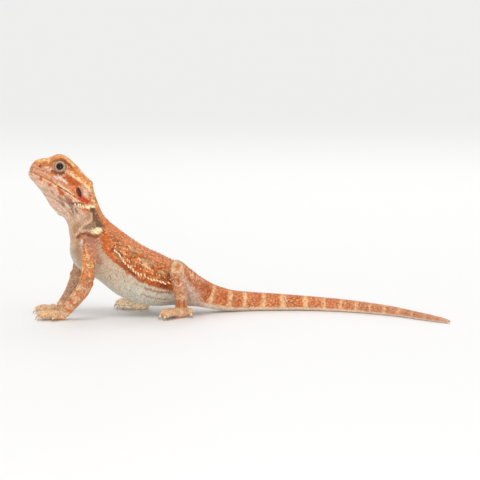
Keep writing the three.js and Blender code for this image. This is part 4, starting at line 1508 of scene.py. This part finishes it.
# Rows of spikes: line, count, height first and last, base, lean back, lean down, colour.
SPIKE_ROWS = [
    (skin_line([(6.2, -9), (6.5, -4), (6.8, 1), (7.0, 9), (7.15, 22), (7.25, 38)]),
     10, 2.1, 2.6, 1.35, 0.5, 0.0, SPIKE_CREAM),  # jowl, four rows
    (skin_line([(6.5, -9), (6.8, -4), (7.05, 4), (7.2, 16)]), 7, 1.3, 1.8, 1.2, 0.6, 0.0, CREAM),
    (skin_line([(6.9, -8), (7.15, 0), (7.3, 12)]), 5, 1.0, 1.1, 0.95, 0.8, 0.0, ORANGE),
    (skin_line([(6.3, -2), (6.6, 3), (6.85, 10)]), 5, 0.8, 0.9, 0.85, 0.8, 0.0, ORANGE),
    (skin_line([(6.0, 43), (6.3, 44), (6.6, 40), (6.9, 36), (7.1, 42)]),
     7, 1.3, 1.3, 1.05, 0.7, 0.0, CREAM),  # behind the ear
    # Across the back of the head, and along the side of the nape.
    (skin_line([(6.1, 80), (6.15, 66), (6.3, 54), (6.4, 46)]), 4, 0.9, 0.8, 1.1, 1.2, 0.0, CREAM),
    (skin_line([(6.0, 72), (6.1, 58), (6.2, 48)]), 3, 1.1, 0.9, 1.0, 0.9, 0.0, CREAM),
    (skin_line([(7.3, 48), (7.6, 48), (8.0, 50)]), 4, 1.1, 1.0, 1.0, 0.8, 0.0, TAN),
    # Along the flank: the main row in three runs, then a row below it and two above.
    (flank_line(4, 10.5, 10.95), 4, 3.1, 2.9, 1.3, 0.3, 0.8, SPIKE_CREAM),
    (flank_line(4, 11.05, 12.4), 9, 2.9, 2.7, 1.25, 0.3, 0.8, SPIKE_CREAM),
    (flank_line(2, 12.45, 13.5), 8, 2.5, 2.3, 1.2, 0.6, 0.5, SPIKE_CREAM),
    (flank_line(-4.0, 10.6, 13.2), 12, 1.2, 1.0, 1.1, 1.1, 0.3, ORANGE),
    (flank_line(10, 10.4, 14.2), 13, 1.3, 1.0, 1.1, 1.2, 0.3, CREAM),
    (flank_line(18, 10.4, 14.2), 12, 1.2, 1.0, 1.1, 1.2, 0.3, TAN),
    (skin_line([(8.95, 0), (9.2, 14), (9.5, 22)]), 5, 1.0, 0.9, 1.0, 0.9, 0.0, CREAM),  # shoulder
]
# Spikes scattered over the nape, back and tail: stations, degrees, spacing, height.
SPIKE_FIELDS = [
    ((7.2, 9.6), (28, 152), 2.4, 1.1),
    ((9.6, 15.0), (20, 160), 2.3, 1.15),
    ((15.0, 20.0), (-5, 185), 2.2, 0.95),
    ((20.0, 24.0), (-5, 185), 2.0, 0.75),
]


def spike_places():
    """Every spike's place, height, base, lean and colour, before it is scattered."""
    points, heights, bases, leans, colours = [], [], [], [], []
    for line, count, first, last, base, back, down, colour in SPIKE_ROWS:
        row = along_line(line, evenly(count, run_of(line)[-1]))
        for side in (1, -1):
            points.append(row * [side, 1, 1])
            heights.append(np.linspace(first, last, count))
            bases.append(np.full(count, base))
            leans.append(np.tile([back, down], (count, 1)))
            colours.append(np.tile(colour, (count, 1)))
    for t_span, degrees, spacing, height in SPIKE_FIELDS:
        t, angle = lattice(0, t_span, degrees, spacing, spacing * 1.1, 90)
        points.append(BODY.surface(t, angle))
        heights.append(np.full(len(t), height))
        bases.append(np.full(len(t), FIELD_BASE))
        leans.append(np.tile([FIELD_LEAN, 0.0], (len(t), 1)))
        part = np.zeros(len(t), int)
        colours.append(markings(points[-1], part, t, angle) * 0.65 + CREAM * 0.35)
    return [np.concatenate(values) for values in (points, heights, bases, leans, colours)]


def make_spikes(name, rng):
    """Solid spikes that stand on the skin and lean towards the tail."""
    points, heights, bases, leans, tints = spike_places()
    points = points + rng.normal(0, SPIKE_SCATTER, points.shape)
    at, normal, _ = settle(points, 9)
    open_skin = from_stroke(at, skin_line(HOLLOW)) > HOLLOW_CLEARANCE
    at, normal, heights, bases, leans, tints = (
        values[open_skin] for values in (at, normal, heights, bases, leans, tints)
    )
    part, t, angle = LOFTS.find(at)
    backwards = np.zeros_like(at)
    for number in np.unique(part):
        chosen = part == number
        sweep = PARTS[number].sweep
        backwards[chosen] = sweep.frame(t[chosen])[2]
    count = len(at)
    heights = heights * rng.uniform(0.7, 1.15, count)
    bases = bases * rng.uniform(0.92, 1.08, count)
    back, down = leans.T[:, :, None]
    axis = unit(normal + unit(backwards) * back * rng.uniform(0.6, 1.3, (count, 1))
                - [0, 0, 1] * down + rng.normal(0, 0.16, (count, 3)))
    along = unit(backwards - normal * (backwards * normal).sum(1)[:, None])
    across = np.cross(normal, along)
    turn = np.arange(SPIKE_SIDES) / SPIKE_SIDES * 2 * np.pi
    rings = []
    for fraction, share in SPIKE_RINGS:
        middle = at + axis * (heights * max(fraction, 0))[:, None] + normal * min(fraction, 0)
        middle = middle + normal * (heights * 0.12 * fraction ** 2)[:, None]
        spread = (along[:, None] * np.cos(turn)[None, :, None]
                  + across[:, None] * np.sin(turn)[None, :, None])
        rings.append(middle[:, None] + spread * (bases * share * 0.5)[:, None, None])
    tip = at + axis * (heights * 1.02)[:, None] + normal * (heights * 0.12)[:, None]
    rings.append(tip[:, None])
    corners = np.concatenate(rings, 1)
    levels = len(SPIKE_RINGS)
    faces = tube_faces(levels, SPIKE_SIDES) + tip_faces((levels - 1) * SPIKE_SIDES, SPIKE_SIDES)
    per_spike = corners.shape[1]
    block = np.array(faces)[None] + (np.arange(count) * per_spike)[:, None, None]
    faces = block.reshape(-1, 3)
    base = markings(at, part, t, angle)
    levels_up = np.concatenate([np.repeat([0.0, 0.3, 0.75, 1.0, 1.0], SPIKE_SIDES), [1.0]])
    colour = base[:, None] + (tints - base)[:, None] * levels_up[None, :, None]
    # Painted shade: each spike is darkened towards its base.
    colour = colour * (0.6 + 0.4 * levels_up)[None, :, None]
    spikes = new_object(name, corners.reshape(-1, 3), faces, np.clip(colour.reshape(-1, 3), 0, 1))
    root = chart_places(part, t, angle)
    spot = np.concatenate([np.tile(hexagon(), (levels, 1)), [[0, 0]]])
    spot = root[:, None] + spot[None] * PATCH
    add_bake_map(spikes, spot.reshape(-1, 2), faces)
    return spikes


spikes = make_spikes("spikes", np.random.default_rng(5))

# ------------------------------------------------------------------ eyelids

# Rings of small scales round the eye: distance from its axis, size, height.
LID_RINGS = [(1.94, 0.34, 0.16), (2.24, 0.34, 0.15), (2.54, 0.38, 0.16), (2.86, 0.44, 0.18)]


def eye_directions(side):
    """Where an eye looks, and the directions up and sideways from there."""
    axis = unit(EYE_AXIS * [side, 1, 1])
    upwards = unit(np.cross(np.cross(axis, [0, 0, 1]), axis))
    return axis, upwards, np.cross(axis, upwards)


def lid_sites():
    """The small scales of the eyelids, ring by ring."""
    lids = Sites()
    for side in (1, -1):
        axis, upwards, sideways = eye_directions(side)
        for number, (aside, size, height) in enumerate(LID_RINGS):
            count = int(2 * np.pi * aside / size)
            turn = (np.arange(count) + 0.5 * (number % 2)) / count * 2 * np.pi
            out = upwards * np.cos(turn)[:, None] + sideways * np.sin(turn)[:, None]
            deep = np.sqrt(LID_RADIUS ** 2 - aside ** 2)
            points = EYE * [side, 1, 1] + axis * deep + out * aside
            at = points
            normal = unit(points - EYE * [side, 1, 1])
            if number > 1:
                at, normal, _ = settle(points, 9)
            part, t, angle = LOFTS.find(at)
            lids.add(
                point=at, normal=normal, along=out, part=part, t=t, angle=angle,
                length=size * 1.1, width=size * 1.05, height=height, style=GRAIN,
            )
    lids.join()
    return lids


lids = lid_sites()
coats.append(make_coat("coat_lids", lids, np.ones(len(lids.t), bool), coat_rng))

# ------------------------------------------------------------------ eyes and claws

PUPIL = 13.0  # degrees from the eye's axis
IRIS = 34.0
CORNEA_RISE = 0.16


def make_eye(name, side):
    """An eyeball with its pole where it looks: pupil, iris and a low cornea."""
    rings, sides = 72, 64
    axis, upwards, sideways = eye_directions(side)
    tilt = np.linspace(0, np.pi, rings + 1)
    turn = np.arange(sides) / sides * 2 * np.pi
    tilts, turns = (grid.ravel() for grid in np.meshgrid(tilt, turn, indexing="ij"))
    radius = EYE_RADIUS + CORNEA_RISE * np.exp(-(np.degrees(tilts) / 22) ** 4)
    out = upwards * np.cos(turns)[:, None] + sideways * np.sin(turns)[:, None]
    points = axis * np.cos(tilts)[:, None] + out * np.sin(tilts)[:, None]
    points = EYE * [side, 1, 1] + points * radius[:, None]
    i, j = np.meshgrid(np.arange(rings), np.arange(sides), indexing="ij")
    a = (i * sides + j).ravel()
    b = (i * sides + (j + 1) % sides).ravel()
    faces = np.stack([a, b, b + sides, a + sides], 1)
    degrees = np.degrees(tilts)
    rays = 0.5 + 0.5 * np.sin(turns * 23) * np.sin(turns * 7 + 1)
    iris = blend(IRIS_BROWN, IRIS_RAY, 0.6 * rays)
    iris = blend(iris, IRIS_RIM, step(22, 30, degrees))
    colour = blend(iris, PUPIL_BLACK, 1 - step(PUPIL - 1, PUPIL + 1, degrees))
    colour = blend(colour, EYE_EDGE, step(IRIS, IRIS + 3, degrees))
    return new_object(name, points, faces if side > 0 else faces[:, ::-1], colour)


def make_claws(name):
    """The five claws of a foot: horn, darker towards the tip."""
    points, faces, colours = [], [], []
    count = 0
    for claw in CLAWS[name]:
        places, triangles, at = claw.loft(20, 18)
        fraction = at[:, 0] / claw.last
        horn = blend(HORN, HORN_TIP, step(0.3, 1.0, fraction))
        places[:, 2] = np.maximum(places[:, 2], CLAW_FLOOR)
        points.append(places)
        faces.append(triangles[:, ::-1] + count)
        colours.append(horn)
        count += len(places)
    return new_object(f"claws_{name}", np.vstack(points), np.vstack(faces), np.vstack(colours))


eyes = {"eye_left": make_eye("eyeball_left", 1), "eye_right": make_eye("eyeball_right", -1)}
claws = {name: make_claws(name) for name in FEET}

# ------------------------------------------------------------------ materials

def new_material(name, roughness, specular=0.5):
    """A material that takes its colour from the painted markings."""
    material = bpy.data.materials.new(name)
    material.use_nodes = True
    tree = material.node_tree
    shader = tree.nodes["Principled BSDF"]
    shader.inputs["Roughness"].default_value = roughness
    shader.inputs["Specular IOR Level"].default_value = specular
    paint_node = tree.nodes.new("ShaderNodeAttribute")
    paint_node.attribute_name = "marking"
    tree.links.new(paint_node.outputs["Color"], shader.inputs["Base Color"])
    return material, tree, shader, paint_node


def grained(name, roughness, specular, grain, contrast, bump, distance):
    """Skin or scale: fine flecks in the colour and a fine unevenness of the surface."""
    material, tree, shader, paint_node = new_material(name, roughness, specular=specular)
    place = tree.nodes.new("ShaderNodeTexCoord")
    flecks = tree.nodes.new("ShaderNodeTexNoise")
    flecks.inputs["Scale"].default_value = grain
    flecks.inputs["Detail"].default_value = 3.0
    spread = tree.nodes.new("ShaderNodeMapRange")
    spread.inputs["From Min"].default_value = 0.3
    spread.inputs["From Max"].default_value = 0.7
    spread.inputs["To Min"].default_value = 1.0 - contrast
    spread.inputs["To Max"].default_value = 1.0 + contrast
    mix = tree.nodes.new("ShaderNodeVectorMath")
    mix.operation = "SCALE"
    relief_node = tree.nodes.new("ShaderNodeBump")
    relief_node.inputs["Strength"].default_value = bump
    relief_node.inputs["Distance"].default_value = distance
    link = tree.links.new
    link(place.outputs["Object"], flecks.inputs["Vector"])
    link(flecks.outputs["Fac"], spread.inputs["Value"])
    link(paint_node.outputs["Color"], mix.inputs[0])
    link(spread.outputs["Result"], mix.inputs["Scale"])
    link(mix.outputs["Vector"], shader.inputs["Base Color"])
    link(flecks.outputs["Fac"], relief_node.inputs["Height"])
    link(relief_node.outputs["Normal"], shader.inputs["Normal"])
    return material


SKIN_MATERIAL = grained("skin", 0.62, 0.35, 1500.0, 0.12, 0.35, 0.0002)
SCALE_MATERIAL = grained("scale", 0.5, 0.42, 2200.0, 0.12, 0.2, 0.0001)
SPIKE_MATERIAL = grained("spike", 0.45, 0.45, 2200.0, 0.08, 0.15, 0.0001)
CLAW_MATERIAL = grained("claw", 0.32, 0.5, 900.0, 0.08, 0.1, 0.0001)
EYE_MATERIAL = new_material("eye", 0.06, specular=0.25)[0]
PLAIN_MATERIAL = new_material("cad", 0.5)[0]

FLESH = [name for name in frame["nodes"] if "claw" not in name and not name.startswith("eye")]


def dress(obj, material, replaced=()):
    """Gives an object its material, hangs it on the root body, and hides the nodes that it stands
    in for.
    """
    obj.data.materials.append(material)
    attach(obj, "root")
    if replaced:
        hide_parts(*replaced)


dress(skin, SKIN_MATERIAL, FLESH)
for coat in coats:
    dress(coat, SCALE_MATERIAL)
dress(spikes, SPIKE_MATERIAL)
for node, eye in eyes.items():
    dress(eye, EYE_MATERIAL, [node])
for name, claw in claws.items():
    dress(claw, CLAW_MATERIAL, [f"{name}_claw_{k}" for k in range(1, 6)])
for node in frame["nodes"].values():
    node.data.materials.clear()
    node.data.materials.append(PLAIN_MATERIAL)

# ------------------------------------------------------------------ floor, lights, camera

FLOOR_REACH = 30.0


def make_floor():
    """The floor for the render, which is not part of the model."""
    mesh = bpy.data.meshes.new("floor")
    turns = [(-1, -1), (1, -1), (1, 1), (-1, 1)]
    corners = [(x * FLOOR_REACH, y * FLOOR_REACH, 0) for x, y in turns]
    mesh.from_pydata(corners, [], [(0, 1, 2, 3)])
    floor = add_object("floor", mesh)
    material = bpy.data.materials.new("floor")
    material.use_nodes = True
    shader = material.node_tree.nodes["Principled BSDF"]
    shader.inputs["Base Color"].default_value = (0.84, 0.84, 0.84, 1)
    shader.inputs["Roughness"].default_value = 0.55
    mesh.materials.append(material)


def aim(obj, place, target):
    """Puts an object at a place, facing a target."""
    obj.location = place
    obj.rotation_euler = (Vector(target) - Vector(place)).to_track_quat("-Z", "Y").to_euler()


LIGHT_TARGET_HEIGHT = 0.04


def make_light(name, place, size, power):
    """A square light that faces the animal."""
    light = bpy.data.lights.new(name, "AREA")
    light.size = size
    light.energy = power
    aim(add_object(name, light), place, (0, 0, LIGHT_TARGET_HEIGHT))


def make_sun(towards, strength):
    """The key light, which shines from one direction."""
    light = bpy.data.lights.new("key", "SUN")
    light.energy = strength
    light.angle = 0.5
    light.color = (1.0, 0.98, 0.95)
    aim(add_object("key", light), towards, (0, 0, 0))


CAMERA_AZIMUTH = 80
CAMERA_ELEVATION = 7
CAMERA_DISTANCE = 1.2
CAMERA_LENS = 160.7
CAMERA_TARGET = [0, 28.4, 40.5]  # in the animal's frame, in mm


def make_camera():
    """The camera of the scene, set to match the photo's view."""
    camera = bpy.data.cameras.new("camera")
    camera.lens = CAMERA_LENS
    camera.sensor_width = 36
    camera.clip_start = 0.05
    obj = add_object("camera", camera)
    target = Vector(to_row(CAMERA_TARGET))
    turn, rise = np.radians(CAMERA_AZIMUTH), np.radians(CAMERA_ELEVATION)
    away = Vector((np.sin(turn) * np.cos(rise), -np.cos(turn) * np.cos(rise), np.sin(rise)))
    aim(obj, target + away * CAMERA_DISTANCE, target)
    bpy.context.scene.camera = obj


make_floor()
make_sun((0.35, -0.15, 1.0), 0.9)
make_light("fill", (1.2, -0.25, 0.14), 0.3, 5.0)
make_light("rear", (-0.8, 0.3, 0.9), 0.7, 2.0)
make_camera()
world = bpy.data.worlds.new("studio")
world.use_nodes = True
world.node_tree.nodes["Background"].inputs["Color"].default_value = (1, 1, 1, 1)
world.node_tree.nodes["Background"].inputs["Strength"].default_value = 0.78
bpy.context.scene.world = world
bpy.context.scene.view_settings.view_transform = "Standard"
